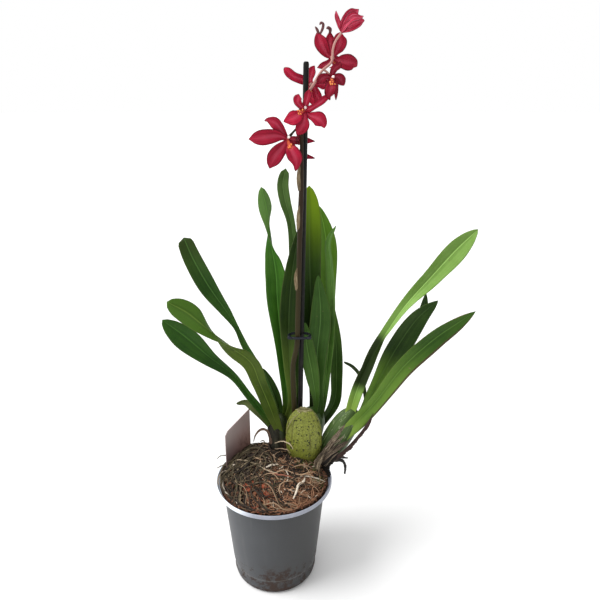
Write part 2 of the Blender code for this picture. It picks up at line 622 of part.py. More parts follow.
def blade(name, material, midrib, thickness, roll=(0, 0), fold=(15, 40, 30, 15), tip=0.06,
          along_count=14, across_count=5):
    """A leaf or petal: a grid bent to its surface and given its thickness both ways."""
    surface = blade_surface(midrib, roll, fold, tip, along_count, across_count)
    work = bmesh.new()
    bmesh.ops.create_grid(work, x_segments=along_count - 1, y_segments=across_count - 1, size=0.5)
    for point in work.verts:
        row = round((point.co.x + 0.5) * (along_count - 1))
        column = round((point.co.y + 0.5) * (across_count - 1))
        point.co = above_mix(surface[row, column])
    mesh = bpy.data.meshes.new(name)
    work.to_mesh(mesh)
    work.free()
    mesh.shade_smooth()
    thing = put(name, mesh, material)
    wall = thing.modifiers.new("thickness", "SOLIDIFY")
    wall.thickness = thickness * MM
    wall.offset = 0.0
    return thing


def build_leaves(rooms):
    """Every leaf, each cut a fit gap off the bulb that it grows from."""
    green = finish_material("leaf_green", (0.10, 0.24, 0.05), 0.4)
    for name, leaf in LEAVES.items():
        shape = {key: leaf[key] for key in ("roll", "fold", "tip") if key in leaf}
        thing = blade(name, green, leaf["midrib"], LEAF_THICKNESS, **shape)
        boolean(thing, rooms[leaf["bulb"]], "DIFFERENCE")


def stalk_and_column(name, flower, grow):
    """A flower's stalk, heart and column as one tube, or the room for them when it grows."""
    heart, stalk = Vector(flower["heart"]), Vector(flower["stalk"])
    faces = Vector(flower["faces"]).normalized()
    line = [stalk, stalk.lerp(heart, 0.5) - faces * PEDICEL_BOW, heart - faces * HEART_RADIUS,
            heart - faces * HEART_RADIUS / 2, heart + faces * HEART_RADIUS / 2,
            heart + faces * (HEART_RADIUS + HEART_SHOULDER), heart + faces * (COLUMN_LENGTH + grow)]
    radii = [PEDICEL_RADIUS, PEDICEL_RADIUS, PEDICEL_RADIUS * PEDICEL_END_SWELL, HEART_RADIUS,
             HEART_RADIUS, COLUMN_RADIUS, COLUMN_RADIUS]
    return tube(name, [above_mix(point) for point in line], [radius + grow for radius in radii], cutter=True)


def build_spike():
    """The spike with the stalk, heart and column of each flower, grown as one."""
    rows = spike_stations(34)
    radii = (SPIKE_FOOT_RADIUS, SPIKE_FOOT_RADIUS * SPIKE_MIDDLE_THICKNESS,
             SPIKE_FOOT_RADIUS * SPIKE_UPPER_THICKNESS, SPIKE_TIP_RADIUS)
    taper = np.interp(np.linspace(0, 1, len(rows)), SPIKE_TAPER_SHARES, radii)
    maroon = finish_material("spike_skin", (0.12, 0.05, 0.04), 0.5)
    spike = tube("flower_spike", [above_mix(row) for row in rows], taper, maroon)
    for name, flower in FLOWERS.items():
        boolean(spike, stalk_and_column(name + "_stalk", flower, 0.0), "UNION")


def build_flowers():
    """The petals, sepals and lip of every flower, each a fit gap off its heart and column."""
    crimson = finish_material("petal_crimson", (0.42, 0.012, 0.045), 0.45)
    for flower_name, flower in FLOWERS.items():
        room = stalk_and_column(flower_name + "_room", flower, FIT_GAP)
        for tepal_name, stations in flower["tepals"].items():
            midrib = ((*flower["heart"], CLAW_WIDTH), *stations)
            tepal = blade(f"{flower_name}_{tepal_name}", crimson, midrib, PETAL_THICKNESS,
                          fold=(10, 10), tip=0.3, along_count=9, across_count=3)
            boolean(tepal, room, "DIFFERENCE")
    build_bud(crimson)


def build_bud(material):
    """The half-open bud at the spike's tip: a sphere drawn out and fuller towards its tip."""
    end, tip = above_mix(SPIKE_LINE[-1]), above_mix(BUD_TIP)
    foot = end + (tip - end).normalized() * FIT_GAP * MM
    work = bmesh.new()
    bmesh.ops.create_uvsphere(work, u_segments=12, v_segments=8, radius=1.0)
    for point in work.verts:
        height = point.co.z
        swell = (1.0 + BUD_TIP_SWELL * height) * BUD_WIDTH / 2 * MM
        point.co = Vector((point.co.x * swell, point.co.y * swell, height * (tip - foot).length / 2))
    bud = put("flower_bud", mesh_from(work, "flower_bud"), material)
    bud.location = (foot + tip) / 2
    bud.rotation_mode = "QUATERNION"
    bud.rotation_quaternion = Vector((0, 0, 1)).rotation_difference(tip - foot)


# ---------------------------------------------------------------- the whole object

empty_scene()
model = new_collection(MODEL_COLLECTION)
cutters = new_collection(CUTTER_COLLECTION)

bulb_green = finish_material("bulb_skin", (0.28, 0.30, 0.08), 0.5)
build_pot()
mix = build_mix()
mound = build_mound()
rod_along_stake("stake", 0.0, finish_material("stake_plastic", (0.01, 0.01, 0.01), 0.4))
build_clip()
card("plant_label", 0.0, finish_material("label_card", (0.30, 0.22, 0.24), 0.7))
rooms = {}
for bulb_name in BULBS:
    bulb(bulb_name, material=bulb_green)
    rooms[bulb_name] = bulb(bulb_name, grow=FIT_GAP, cutter=True)
    boolean(mound, rooms[bulb_name], "DIFFERENCE")
build_leaves(rooms)
build_spike()
build_flowers()

stake_room = rod_along_stake("stake_room", FIT_GAP, cutter=True)
label_room = card("label_room", FIT_GAP, cutter=True)
for ground in (mix, mound):
    boolean(ground, stake_room, "DIFFERENCE")
    boolean(ground, label_room, "DIFFERENCE")
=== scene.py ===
"""A flowering orchid in a plastic nursery pot: the finish of every piece, round the fixed solids.

Lengths below are millimetres and are made metres when a mesh is built.  Heights of the living plant are
measured from the surface of the growing mix.
"""

import math

import bmesh
import bpy
import numpy as np
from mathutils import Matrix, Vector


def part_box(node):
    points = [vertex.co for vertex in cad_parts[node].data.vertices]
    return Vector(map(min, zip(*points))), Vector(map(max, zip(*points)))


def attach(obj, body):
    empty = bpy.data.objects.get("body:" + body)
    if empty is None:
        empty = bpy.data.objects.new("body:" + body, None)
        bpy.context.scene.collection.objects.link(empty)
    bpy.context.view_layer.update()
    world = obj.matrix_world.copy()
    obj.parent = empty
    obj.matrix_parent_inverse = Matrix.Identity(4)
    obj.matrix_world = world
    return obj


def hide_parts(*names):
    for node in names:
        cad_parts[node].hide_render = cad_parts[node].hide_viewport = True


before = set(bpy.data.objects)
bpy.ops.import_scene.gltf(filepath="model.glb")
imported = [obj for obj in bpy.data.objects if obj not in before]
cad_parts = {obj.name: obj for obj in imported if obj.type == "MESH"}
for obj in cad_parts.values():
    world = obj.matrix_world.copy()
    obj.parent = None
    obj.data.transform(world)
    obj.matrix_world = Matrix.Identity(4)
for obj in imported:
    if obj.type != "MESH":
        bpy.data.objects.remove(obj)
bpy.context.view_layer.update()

MM = 0.001

# ---------------------------------------------------------------- studio
# A pale floor that runs out to a white surround, lit by one broad soft light from the upper left.
# The camera stands in front of the pot at the height of the top flowers and looks down a little.

CAMERA_PLACE = (0.027, -0.489, 0.480)
CAMERA_TILT = 70.6
CAMERA_LENS = 33.6
FLOOR_RADIUS = 30.0
FLOOR_SIDES = 96
KEY_DIRECTION = (0.60, 0.16, -0.80)
KEY_STRENGTH = 2.35
KEY_SPREAD = 34.0
SKY_LEFT = 1.38
SKY_RIGHT = 0.50


class Finish:
    """A node material in the making: each call adds one node and gives back its output socket."""

    def __init__(self, name, roughness, gloss, more=None):
        self.material = bpy.data.materials.new(name)
        self.material.use_nodes = True
        self.tree = self.material.node_tree
        self.shader = self.tree.nodes["Principled BSDF"]
        fixed = {"Roughness": roughness, "Specular IOR Level": gloss}
        for socket, value in (fixed | (more or {})).items():
            self.shader.inputs[socket].default_value = value
        self.colour = self.normal = None

    def add(self, kind, inputs, output=0, **settings):
        """One node, its properties set, and each input given a value or linked to a socket."""
        node = self.tree.nodes.new("ShaderNode" + kind)
        for key, value in settings.items():
            setattr(node, key, value)
        for key, value in inputs.items():
            if isinstance(value, bpy.types.NodeSocket):
                self.tree.links.new(value, node.inputs[key])
            else:
                node.inputs[key].default_value = value
        return node.outputs[output]

    def place(self, kind="Object", stretch=None):
        """Object or UV coordinates, stretched along each axis if asked."""
        where = self.add("TexCoord", {}, kind)
        return self.add("Mapping", {"Vector": where, "Scale": stretch}) if stretch else where

    def axis(self, letter, kind="Object"):
        """One of the three coordinates."""
        return self.add("SeparateXYZ", {0: self.place(kind)}, letter)

    def noise(self, where, scale, detail=3.0, roughness=0.55):
        """Cloudy noise from 0 to 1."""
        inputs = {"Vector": where, "Scale": scale, "Detail": detail, "Roughness": roughness}
        return self.add("TexNoise", inputs)

    def grain(self, stretch, detail=3.0, roughness=0.55, kind="UV"):
        """Noise drawn out along the surface, as fibres and veins are."""
        return self.noise(self.place(kind, stretch), 1.0, detail, roughness)

    def cells(self, where, scale, feature="F1"):
        """Distance to the nearest of scattered points."""
        return self.add("TexVoronoi", {"Vector": where, "Scale": scale}, "Distance", feature=feature)

    def band(self, value, low, high, to_low=0.0, to_high=1.0):
        """A smooth step from to_low to to_high as value goes from low to high."""
        limits = {0: value, 1: low, 2: high, 3: to_low, 4: to_high}
        return self.add("MapRange", limits, interpolation_type="SMOOTHSTEP")

    def maths(self, operation, a, b=0.0):
        """One operation on two numbers."""
        return self.add("Math", {0: a, 1: b}, operation=operation)

    def times(self, a, b):
        """The product of two numbers."""
        return self.maths("MULTIPLY", a, b)

    def plus(self, a, b):
        """The sum of two numbers."""
        return self.maths("ADD", a, b)

    def off(self, a, b):
        """How far two numbers are apart."""
        return self.maths("ABSOLUTE", self.maths("SUBTRACT", a, b))

    def blend(self, share, a, b):
        """Colour a going over to colour b."""
        a, b = ((*value, 1.0) if isinstance(value, tuple) else value for value in (a, b))
        return self.add("Mix", {0: share, 6: a, 7: b}, 2, data_type="RGBA")

    def start(self, share, a, b):
        """The colour under all the others: a going over to b."""
        self.colour = self.blend(share, a, b)

    def lay(self, share, colour, amount=None):
        """Lays a colour over those so far where share is high, no thicker than amount."""
        share = share if amount is None else self.times(share, amount)
        self.colour = self.blend(share, self.colour, colour)

    def dent(self, height, distance, strength=1.0):
        """Raises the surface by height times distance in millimetres, on top of the bumps so far."""
        inputs = {"Height": height, "Distance": distance * MM, "Strength": strength}
        if self.normal:
            inputs["Normal"] = self.normal
        self.normal = self.add("Bump", inputs)

    def paint(self, roughness=None):
        """Links the colour, the bumps and any roughness to the shader and gives back the material."""
        finished = {"Base Color": self.colour, "Normal": self.normal, "Roughness": roughness}
        for socket, value in finished.items():
            if value:
                self.tree.links.new(value, self.shader.inputs[socket])
        return self.material


def tint(colour, share, lift=0.0):
    """A colour made darker or lighter by one share, and lifted towards white."""
    return tuple(min(1.0, share * part + lift) for part in colour)


def full_turn(count):
    """Even angles once round a circle, in radians."""
    return np.linspace(0, 2 * np.pi, count, endpoint=False)


def studio_floor():
    """A flat disc on the ground: points at one radius round a circle, closed as one face."""
    turn = full_turn(FLOOR_SIDES)
    rim = np.stack([FLOOR_RADIUS * np.cos(turn), FLOOR_RADIUS * np.sin(turn), 0 * turn], axis=1)
    mesh = bpy.data.meshes.new("studio_floor")
    mesh.from_pydata(rim.tolist(), [], [list(range(FLOOR_SIDES))])
    floor = bpy.data.objects.new("studio_floor", mesh)
    bpy.context.scene.collection.objects.link(floor)
    white = Finish("studio_white", 0.9, 0.0)
    white.start(white.noise(white.place(), 3.0), (0.84, 0.84, 0.84), (0.87, 0.87, 0.87))
    mesh.materials.append(white.paint())


def studio_light():
    """A sun with a broad disc, and a white sky that is brighter on the left than on the right."""
    sun = bpy.data.lights.new("key_light", "SUN")
    sun.energy = KEY_STRENGTH
    sun.angle = math.radians(KEY_SPREAD)
    lamp = bpy.data.objects.new("key_light", sun)
    aim = Vector(KEY_DIRECTION)
    lamp.rotation_mode = "QUATERNION"
    lamp.rotation_quaternion = aim.to_track_quat("-Z", "Y")
    bpy.context.scene.collection.objects.link(lamp)
    world = bpy.data.worlds.new("studio_sky")
    world.use_nodes = True
    tree = world.node_tree
    sky = tree.nodes["Background"]
    sky.inputs["Color"].default_value = (1.0, 1.0, 1.0, 1.0)
    way = tree.nodes.new("ShaderNodeTexCoord")
    split = tree.nodes.new("ShaderNodeSeparateXYZ")
    tree.links.new(way.outputs["Generated"], split.inputs[0])
    side = tree.nodes.new("ShaderNodeMapRange")
    for key, value in {1: -1.0, 2: 1.0, 3: SKY_LEFT, 4: SKY_RIGHT}.items():
        side.inputs[key].default_value = value
    tree.links.new(split.outputs["X"], side.inputs[0])
    seen = tree.nodes.new("ShaderNodeLightPath")
    level = tree.nodes.new("ShaderNodeMix")
    level.inputs[3].default_value = 1.0
    tree.links.new(seen.outputs["Is Camera Ray"], level.inputs[0])
    tree.links.new(side.outputs[0], level.inputs[2])
    tree.links.new(level.outputs[0], sky.inputs["Strength"])
    bpy.context.scene.world = world


def studio_camera():
    """The camera, level from side to side and tipped down."""
    lens = bpy.data.cameras.new("camera")
    lens.lens = CAMERA_LENS
    camera = bpy.data.objects.new("camera", lens)
    camera.location = CAMERA_PLACE
    camera.rotation_euler = (math.radians(CAMERA_TILT), 0.0, 0.0)
    bpy.context.scene.collection.objects.link(camera)
    bpy.context.scene.camera = camera


bpy.context.scene.view_settings.view_transform = "Standard"
studio_floor()
studio_light()
studio_camera()

# ---------------------------------------------------------------- nursery pot
# A thin injection-moulded pot in grey plastic, tapered so that empty pots nest, with a broad flared lip
# and drain holes through its floor.  Its foot is splashed with dried compost and its lip carries a painted
# highlight.

POT_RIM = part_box("pot")[1].x / MM
POT_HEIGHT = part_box("pot")[1].z / MM
LIP_OVERHANG = 7.0
LIP_DEPTH = 6.5
POT_TAPER = 10.0
POT_BODY = POT_RIM - LIP_OVERHANG
POT_FOOT = POT_BODY - POT_TAPER
POT_SHOULDER = POT_HEIGHT - LIP_DEPTH
POT_WALL = 1.4
POT_CORNER = 5.0
POT_SEGMENTS = 160
FLARE_RADIUS = 1.8
BEAD_RADIUS = 1.0
BRIM_RADIUS = 0.7
FOOT_STEP_HEIGHT = 18.0
FOOT_STEP_DEPTH = 0.5
FOOT_STEP_SHARPNESS = 4.0
DRAIN_HOLES = 6
DRAIN_RING = 27.0
DRAIN_RADIUS = 4.0


def weave(name, points, uv=None, tone=None):
    """A mesh of one or several grids of points, each (rows, columns, 3): every cell of a grid is a quad.

    The last column joins the first.  A row drawn to one point becomes a pole, seams and poles are merged,
    and the faces are turned outwards.  tone gives each grid one number, kept as an attribute.
    """
    points = np.asarray(points, float)
    points = points[None] if points.ndim == 3 else points
    grids, rows, columns = points.shape[:3]
    index = np.arange(grids * rows * columns).reshape(grids, rows, columns)
    index = np.concatenate([index, index[:, :, :1]], axis=2)
    corners = [index[:, :-1, :-1], index[:, :-1, 1:], index[:, 1:, 1:], index[:, 1:, :-1]]
    faces = np.stack(corners, axis=-1).reshape(-1, 4)
    mesh = bpy.data.meshes.new(name)
    mesh.vertices.add(grids * rows * columns)
    mesh.vertices.foreach_set("co", (points * MM).ravel())
    mesh.loops.add(faces.size)
    mesh.loops.foreach_set("vertex_index", faces.ravel())
    mesh.polygons.add(len(faces))
    mesh.polygons.foreach_set("loop_start", np.arange(0, faces.size, 4))
    mesh.update(calc_edges=True)
    if uv is not None:
        at = np.stack([uv[:-1, :-1], uv[:-1, 1:], uv[1:, 1:], uv[1:, :-1]], axis=2)
        layer = mesh.uv_layers.new(name="UVMap")
        layer.uv.foreach_set("vector", np.broadcast_to(at, (grids, *at.shape)).astype(np.float32).ravel())
    if tone is not None:
        layer = mesh.attributes.new("tone", "FLOAT", "POINT")
        layer.data.foreach_set("value", np.repeat(np.asarray(tone, float), rows * columns))
    work = bmesh.new()
    work.from_mesh(mesh)
    bmesh.ops.remove_doubles(work, verts=work.verts, dist=1e-7)
    bmesh.ops.recalc_face_normals(work, faces=work.faces)
    work.to_mesh(mesh)
    work.free()
    mesh.shade_smooth()
    return mesh


def piece(name, points, finish, slot, *stands_for, uv=None, tone=None):
    """A finished piece, woven from points, that rides on the one body and stands for the CAD nodes named."""
    mesh = weave(name, points, uv, tone)
    thing = bpy.data.objects.new(name, mesh)
    bpy.context.scene.collection.objects.link(thing)
    mesh.materials.append(finish)
    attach(thing, "root")
    if stands_for:
        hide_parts(*stands_for)
    return thing


def arc(centre, radius, start, stop, count):
    """Points round part of a circle in the (radius, height) plane, angles in degrees."""
    turn = np.radians(np.linspace(start, stop, count))
    return np.stack([centre[0] + radius * np.cos(turn), centre[1] + radius * np.sin(turn)], axis=1)


def revolve(profile, segments):
    """A profile (radius, height) turned about the vertical axis: (r cos a, r sin a, z)."""
    turn = full_turn(segments)
    radius, height = profile[:, :1], profile[:, 1:]
    return np.stack([radius * np.cos(turn), radius * np.sin(turn), height + 0 * turn], axis=2)


def pot_profile():
    """Floor, rounded corner, stepped and tapered wall, flared lip, and the same back down inside."""
    corner = arc((POT_FOOT - POT_CORNER, POT_CORNER), POT_CORNER, -90, 0, 9)
    height = np.linspace(POT_CORNER, POT_SHOULDER - 2.0, 40)[1:]
    taper = POT_FOOT + (POT_BODY - POT_FOOT) * height / POT_SHOULDER
    step = FOOT_STEP_DEPTH / (1 + np.exp((height - FOOT_STEP_HEIGHT) * FOOT_STEP_SHARPNESS)) * (height > 8.0)
    wall = np.stack([taper - step, height], axis=1)
    flare = arc((POT_BODY + 1.6, POT_SHOULDER + 0.4), FLARE_RADIUS, 180, 100, 5)
    flare[:, 1] = 2 * (POT_SHOULDER + 0.4) - flare[:, 1]
    under = np.array([[POT_RIM - 2.0, POT_HEIGHT - 4.6]])
    bead = arc((POT_RIM - BEAD_RADIUS, POT_HEIGHT - 3.6), BEAD_RADIUS, -75, 0, 5)
    top = arc((POT_RIM - BRIM_RADIUS, POT_HEIGHT - BRIM_RADIUS), BRIM_RADIUS, 0, 180, 9)
    ledge = arc((POT_RIM - 3.4, POT_HEIGHT - FLARE_RADIUS), FLARE_RADIUS, -10, -70, 6)
    inside = np.array([[POT_BODY + 1.2, POT_SHOULDER + 1.0], [POT_BODY - 0.6, POT_SHOULDER],
                       [POT_BODY - POT_WALL - 0.3, POT_SHOULDER - 2.5],
                       [POT_FOOT - POT_WALL + 0.6, POT_CORNER + 1.0],
                       [POT_FOOT - POT_CORNER, POT_WALL], [0.0, POT_WALL]])
    return np.vstack([[[0.0, 0.0]], corner, wall, flare, under, bead, top, ledge, inside])


def drill_drains(pot):
    """Cut the drain holes through the floor with short rods, then keep the cut mesh."""
    turn = full_turn(DRAIN_HOLES)
    rod = revolve(np.array([[0, -2], [DRAIN_RADIUS, -2], [DRAIN_RADIUS, 4], [0, 4]], float), 24)
    rods = np.stack([rod + (DRAIN_RING * math.cos(a), DRAIN_RING * math.sin(a), 0) for a in turn])
    cutter = bpy.data.objects.new("drain_rods", weave("drain_rods", rods))
    bpy.context.scene.collection.objects.link(cutter)
    cut = pot.modifiers.new("drains", "BOOLEAN")
    cut.object = cutter
    cut.operation = "DIFFERENCE"
    evaluated = pot.evaluated_get(bpy.context.evaluated_depsgraph_get())
    pot.data = bpy.data.meshes.new_from_object(evaluated)
    pot.modifiers.clear()
    bpy.data.objects.remove(cutter, do_unlink=True)


def pot_finish():
    """Matt grey plastic with brown splashes towards the foot, a painted lip highlight and painted shade right
    and low.
    """
    grey = Finish("grey_pot_plastic", 0.5, 0.35)
    where = grey.place()
    height = grey.axis("Z")
    cloud = grey.noise(where, 26.0, 4.0)
    grey.start(cloud, (0.038, 0.041, 0.046), (0.058, 0.062, 0.068))
    streak = grey.band(grey.grain((90.0, 90.0, 7.0), 3.0, kind="Object"), 0.52, 0.75)
    grey.lay(streak, (0.095, 0.095, 0.093), 0.35)
    low = grey.band(height, 0.046, 0.0)
    across = grey.axis("X")
    # Painted shade: the body is darkened towards its right side.
    grey.lay(grey.band(across, -0.035, 0.040, 0.0, 0.75), (0.022, 0.022, 0.021))
    front = grey.band(grey.off(across, 0.004), 0.022, 0.006)
    wet = grey.plus(grey.times(low, 0.09), grey.times(front, 0.11))
    splash = grey.plus(grey.noise(where, 150.0, 8.0, 0.72), wet)
    soil = grey.times(grey.band(splash, 0.53, 0.72), grey.band(height, 0.046, 0.024))
    grey.lay(soil, (0.040, 0.020, 0.012), 0.8)
    # Painted highlight: a pale line round the step in the wall.
    ring = grey.off(height, FOOT_STEP_HEIGHT * MM)
    grey.lay(grey.band(ring, 0.0012, 0.0003, 0.0, 0.5), (0.11, 0.11, 0.105))
    # Painted shadow: a dark band round the last few millimetres above the floor, where the pot meets it.
    grey.lay(grey.band(height, 0.0042, 0.0022, 0.0, 0.85), (0.014, 0.010, 0.008))
    specks = grey.band(grey.cells(where, 150.0), 0.16, 0.08)
    rare = grey.band(grey.noise(where, 60.0), 0.60, 0.68)
    grey.lay(grey.times(specks, rare), (0.030, 0.022, 0.018))
    # Painted highlight: the lip is painted pale, and nearly white on the left as a painted reflection.
    lip_highlight = grey.blend(grey.noise(where, 240.0, 3.0), (0.24, 0.25, 0.30), (0.36, 0.38, 0.44))
    lip_highlight = grey.blend(grey.band(across, -0.015, -0.042), lip_highlight, (0.86, 0.92, 1.0))
    lip = grey.band(height, (POT_HEIGHT - 7.2) * MM, (POT_HEIGHT - 4.4) * MM)
    grey.lay(lip, lip_highlight)
    grey.dent(grey.noise(where, 900.0, 2.0), 0.05, 0.5)
    grey.dent(soil, 0.25, 0.6)
    return grey.paint(grey.band(soil, 0.0, 1.0, 0.46, 0.9))


pot = piece("nursery_pot", revolve(pot_profile(), POT_SEGMENTS), pot_finish(), "pot_plastic", "pot")
drill_drains(pot)

# ---------------------------------------------------------------- growing mix
# Composted bark and fibre that fills the pot to just under its lip.  It is poured in round the roots, so
# only its top edge ever shows, between the mound and the wall.


def mix_finish():
    """Dark crumbs of bark with paler fibres."""
    bark = Finish("composted_bark", 0.95, 0.2)
    where = bark.place()
    crumbs = bark.cells(where, 260.0)
    bark.start(bark.noise(where, 120.0, 5.0), (0.018, 0.011, 0.007), (0.10, 0.055, 0.032))
    bark.lay(bark.band(crumbs, 0.1, 0.5), (0.016, 0.010, 0.007))
    bark.dent(crumbs, 1.2)
    return bark.paint()


def repaint(node, finish):
    """A CAD solid that is its own finished piece, in a new material."""
    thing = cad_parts[node]
    thing.data.materials.clear()
    thing.data.materials.append(finish)


repaint("potting_mix", mix_finish())
MIX_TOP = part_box("potting_mix")[1].z / MM


def from_mix(rows):
    """Rows whose heights are measured from the surface of the mix, measured from the floor instead."""
    rows = np.array(rows, float)
    rows[..., 2] += MIX_TOP
    return rows


# ---------------------------------------------------------------- mound of roots
# The plant was potted on with its root ball standing proud: a mound of bark and coir, bound by years of
# wiry aerial roots.  Old roots are dark, dry ones tan, live ones white, and moss grows in the damp shade.

MOUND_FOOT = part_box("root_mat")[0].z / MM
MOUND_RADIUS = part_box("root_mat")[1].x / MM
MOUND_SPREAD = MOUND_RADIUS + 5.8
MOUND_EDGE = 4.6
MOUND_RISE = 16.5
MOUND_LEAN = 0.30
CRUMB_SHAPE = (1.0, 0.6, 0.28)
BRIM_SHARE = 0.84
BRIM_ROOM = 0.13
PILE_PLACE = (-22.0, 26.0)
PILE_HEIGHT = 6.0
PILE_REACH = 14.0
MOUND_RINGS = 60
ROOT_STEPS = 11
MOUND_SECTORS = 170
COARSE_ROUGHNESS = 2.6
FINE_ROUGHNESS = 1.1


def ripple(x, y, seed, count, longest, shortest):
    """Smooth unevenness from -1 to 1: a mean of sine waves in random directions and lengths."""
    pick = np.random.default_rng(seed)
    turn = pick.uniform(0, 2 * np.pi, count)
    pace = 2 * np.pi / np.exp(pick.uniform(math.log(shortest), math.log(longest), count))
    start = pick.uniform(0, 2 * np.pi, count)
    run = x[..., None] * np.cos(turn) + y[..., None] * np.sin(turn)
    return np.sin(run * pace + start).mean(axis=-1) * 2.0


def mound_height(x, y):
    """A flat-topped dome 1 - r^2.6, higher towards the bulbs, with a bell-shaped pile at the back left."""
    share = np.clip(np.hypot(x, y) / MOUND_SPREAD, 0, 1)
    up = MOUND_RISE * (1 - share ** 2.6) * (1 + MOUND_LEAN * (x + y) / (math.sqrt(2) * POT_BODY))
    apart = np.hypot(x - PILE_PLACE[0], y - PILE_PLACE[1]) / PILE_REACH
    return MOUND_FOOT + MOUND_EDGE + up + PILE_HEIGHT * np.exp(-apart ** 2 / 2)


def mound_surface():
    """Rings from the crown to the edge, roughened, then down the edge and in to the foot's centre."""
    radius = np.linspace(0, MOUND_SPREAD, MOUND_RINGS)[:, None]
    turn = full_turn(MOUND_SECTORS)[None, :]
    x, y = radius * np.cos(turn), radius * np.sin(turn)
    fade = np.clip((MOUND_SPREAD - radius) / 5.0, 0.25, 1)
    rough = COARSE_ROUGHNESS * ripple(x, y, 5, 40, 22.0, 6.0) + FINE_ROUGHNESS * ripple(x, y, 6, 40, 6.0, 2.4)
    top = np.stack([x, y, mound_height(x, y) - 1.6 + rough * fade], axis=2)
    inner = MOUND_RADIUS / MOUND_SPREAD
    edge = np.stack([x[-1] * inner, y[-1] * inner, 0 * x[-1] + MOUND_FOOT], axis=1)
    return np.concatenate([top, edge[None], (edge * (0, 0, 1))[None]])


def mound_finish():
    """Dark brown fibre with redder patches."""
    soil = Finish("root_ball_fibre", 0.95, 0.2)
    fine = soil.grain((500.0, 160.0, 300.0), 5.0, 0.7, "Object")
    soil.start(soil.band(fine, 0.35, 0.7), (0.006, 0.004, 0.003), (0.060, 0.032, 0.019))
    red = soil.band(soil.noise(soil.place(), 70.0), 0.5, 0.66)
    soil.lay(red, (0.12, 0.040, 0.020), 0.4)
    soil.dent(fine, 1.5)
    return soil.paint()


piece("root_ball", mound_surface(), mound_finish(), "dry_roots", "root_mat")


def scatter(pick, shape, spot, reach):
    """The x and y of random places spread evenly over a disc."""
    far = np.sqrt(pick.uniform(0, 1, shape)) * reach
    way = pick.uniform(0, 2 * np.pi, shape)
    return spot[0] + far * np.cos(way), spot[1] + far * np.sin(way)


def chips(count, spot, reach, size, seed):
    """Crumbs of bark: rounded boxes, sign(cos)|cos|^0.5 about two angles, dented, turned and strewn."""
    pick = np.random.default_rng(seed)
    up = np.radians(np.linspace(-90, 90, 6))[:, None]
    turn = full_turn(8)[None, :]

    def square(value):
        return np.sign(value) * np.abs(value) ** 0.5

    ball = np.stack([square(np.cos(up)) * square(np.cos(turn)), square(np.cos(up)) * square(np.sin(turn)),
                     square(np.sin(up)) + 0 * turn], axis=2)
    half = pick.uniform(0.25, 1.0, (count, 1, 1, 3)) * size * CRUMB_SHAPE
    shape = ball[None] * half
    dent = pick.uniform(0.7, 1.3, (count, 6, 8, 1))
    dent[:, (0, -1)] = 1.0
    shape = shape * dent
    tip, spin = pick.normal(0, 0.5, (2, count, 1, 1))
    spin = spin * 9.0
    x = shape[..., 0] * np.cos(tip) - shape[..., 2] * np.sin(tip)
    z = shape[..., 0] * np.sin(tip) + shape[..., 2] * np.cos(tip)
    x, y = x * np.cos(spin) - shape[..., 1] * np.sin(spin), x * np.sin(spin) + shape[..., 1] * np.cos(spin)
    home_x, home_y = scatter(pick, count, spot, reach)
    pull = np.minimum(1.0, (MOUND_SPREAD - 3.0) / np.hypot(home_x, home_y))
    home_x, home_y = home_x * pull, home_y * pull
    home_z = mound_height(home_x, home_y) + pick.uniform(-0.8, 1.6, count)
    home = np.stack([home_x, home_y, home_z], axis=1)
    return np.stack([x, y, z], axis=-1) + home[:, None, None, :], pick.uniform(0, 1, count)


def crumb_finish(name, dark, light):
    """Bark or fibre whose shade goes from dark to light with each crumb's tone."""
    bark = Finish(name, 0.9, 0.25)
    tone = bark.add("Attribute", {}, "Fac", attribute_name="tone")
    grain = bark.noise(bark.place(), 700.0, 4.0, 0.7)
    bark.start(bark.plus(bark.times(grain, 0.5), bark.times(tone, 0.6)), dark, light)
    bark.dent(grain, 0.4)
    return bark.paint()


for crumb_name, crumb_count, crumb_spot, crumb_reach, crumb_size, dark, light in (
        ("bark_chips", 520, (2, -12), 54, 3.8, (0.012, 0.007, 0.004), (0.22, 0.095, 0.052)),
        ("red_bark", 40, (-14, -36), 16, 6.2, (0.07, 0.018, 0.010), (0.36, 0.09, 0.042)),
        ("bark_dust", 1000, (0, -6), 57, 1.6, (0.014, 0.008, 0.006), (0.28, 0.14, 0.08))):
    grids, tones = chips(crumb_count, crumb_spot, crumb_reach, crumb_size, crumb_count)
    piece(crumb_name, grids, crumb_finish(crumb_name, dark, light), "bark_mix", tone=tones)


def rods(lines, radii, sides, front=(0.0, 0.0, 1.0)):
    """Round rods along lines (rods, stations, 3): line + radius (cos a n + sin a b), drawn shut at both ends.

    n is front made square to the line, and b is square to both.
    """
    forward = np.gradient(lines, axis=1)
    forward /= np.linalg.norm(forward, axis=2, keepdims=True)
    front = np.asarray(front, float)
    normal = front - (forward @ front)[..., None] * forward
    normal /= np.linalg.norm(normal, axis=2, keepdims=True) + 1e-9
    other = np.cross(forward, normal)
    turn = full_turn(sides)[:, None]
    ring = normal[:, :, None] * np.cos(turn) + other[:, :, None] * np.sin(turn)
    points = lines[:, :, None] + ring * radii[:, :, None, None]
    ends = np.repeat(lines[:, (0, -1), None], sides, axis=2)
    return np.concatenate([ends[:, :1], points, ends[:, 1:]], axis=1)


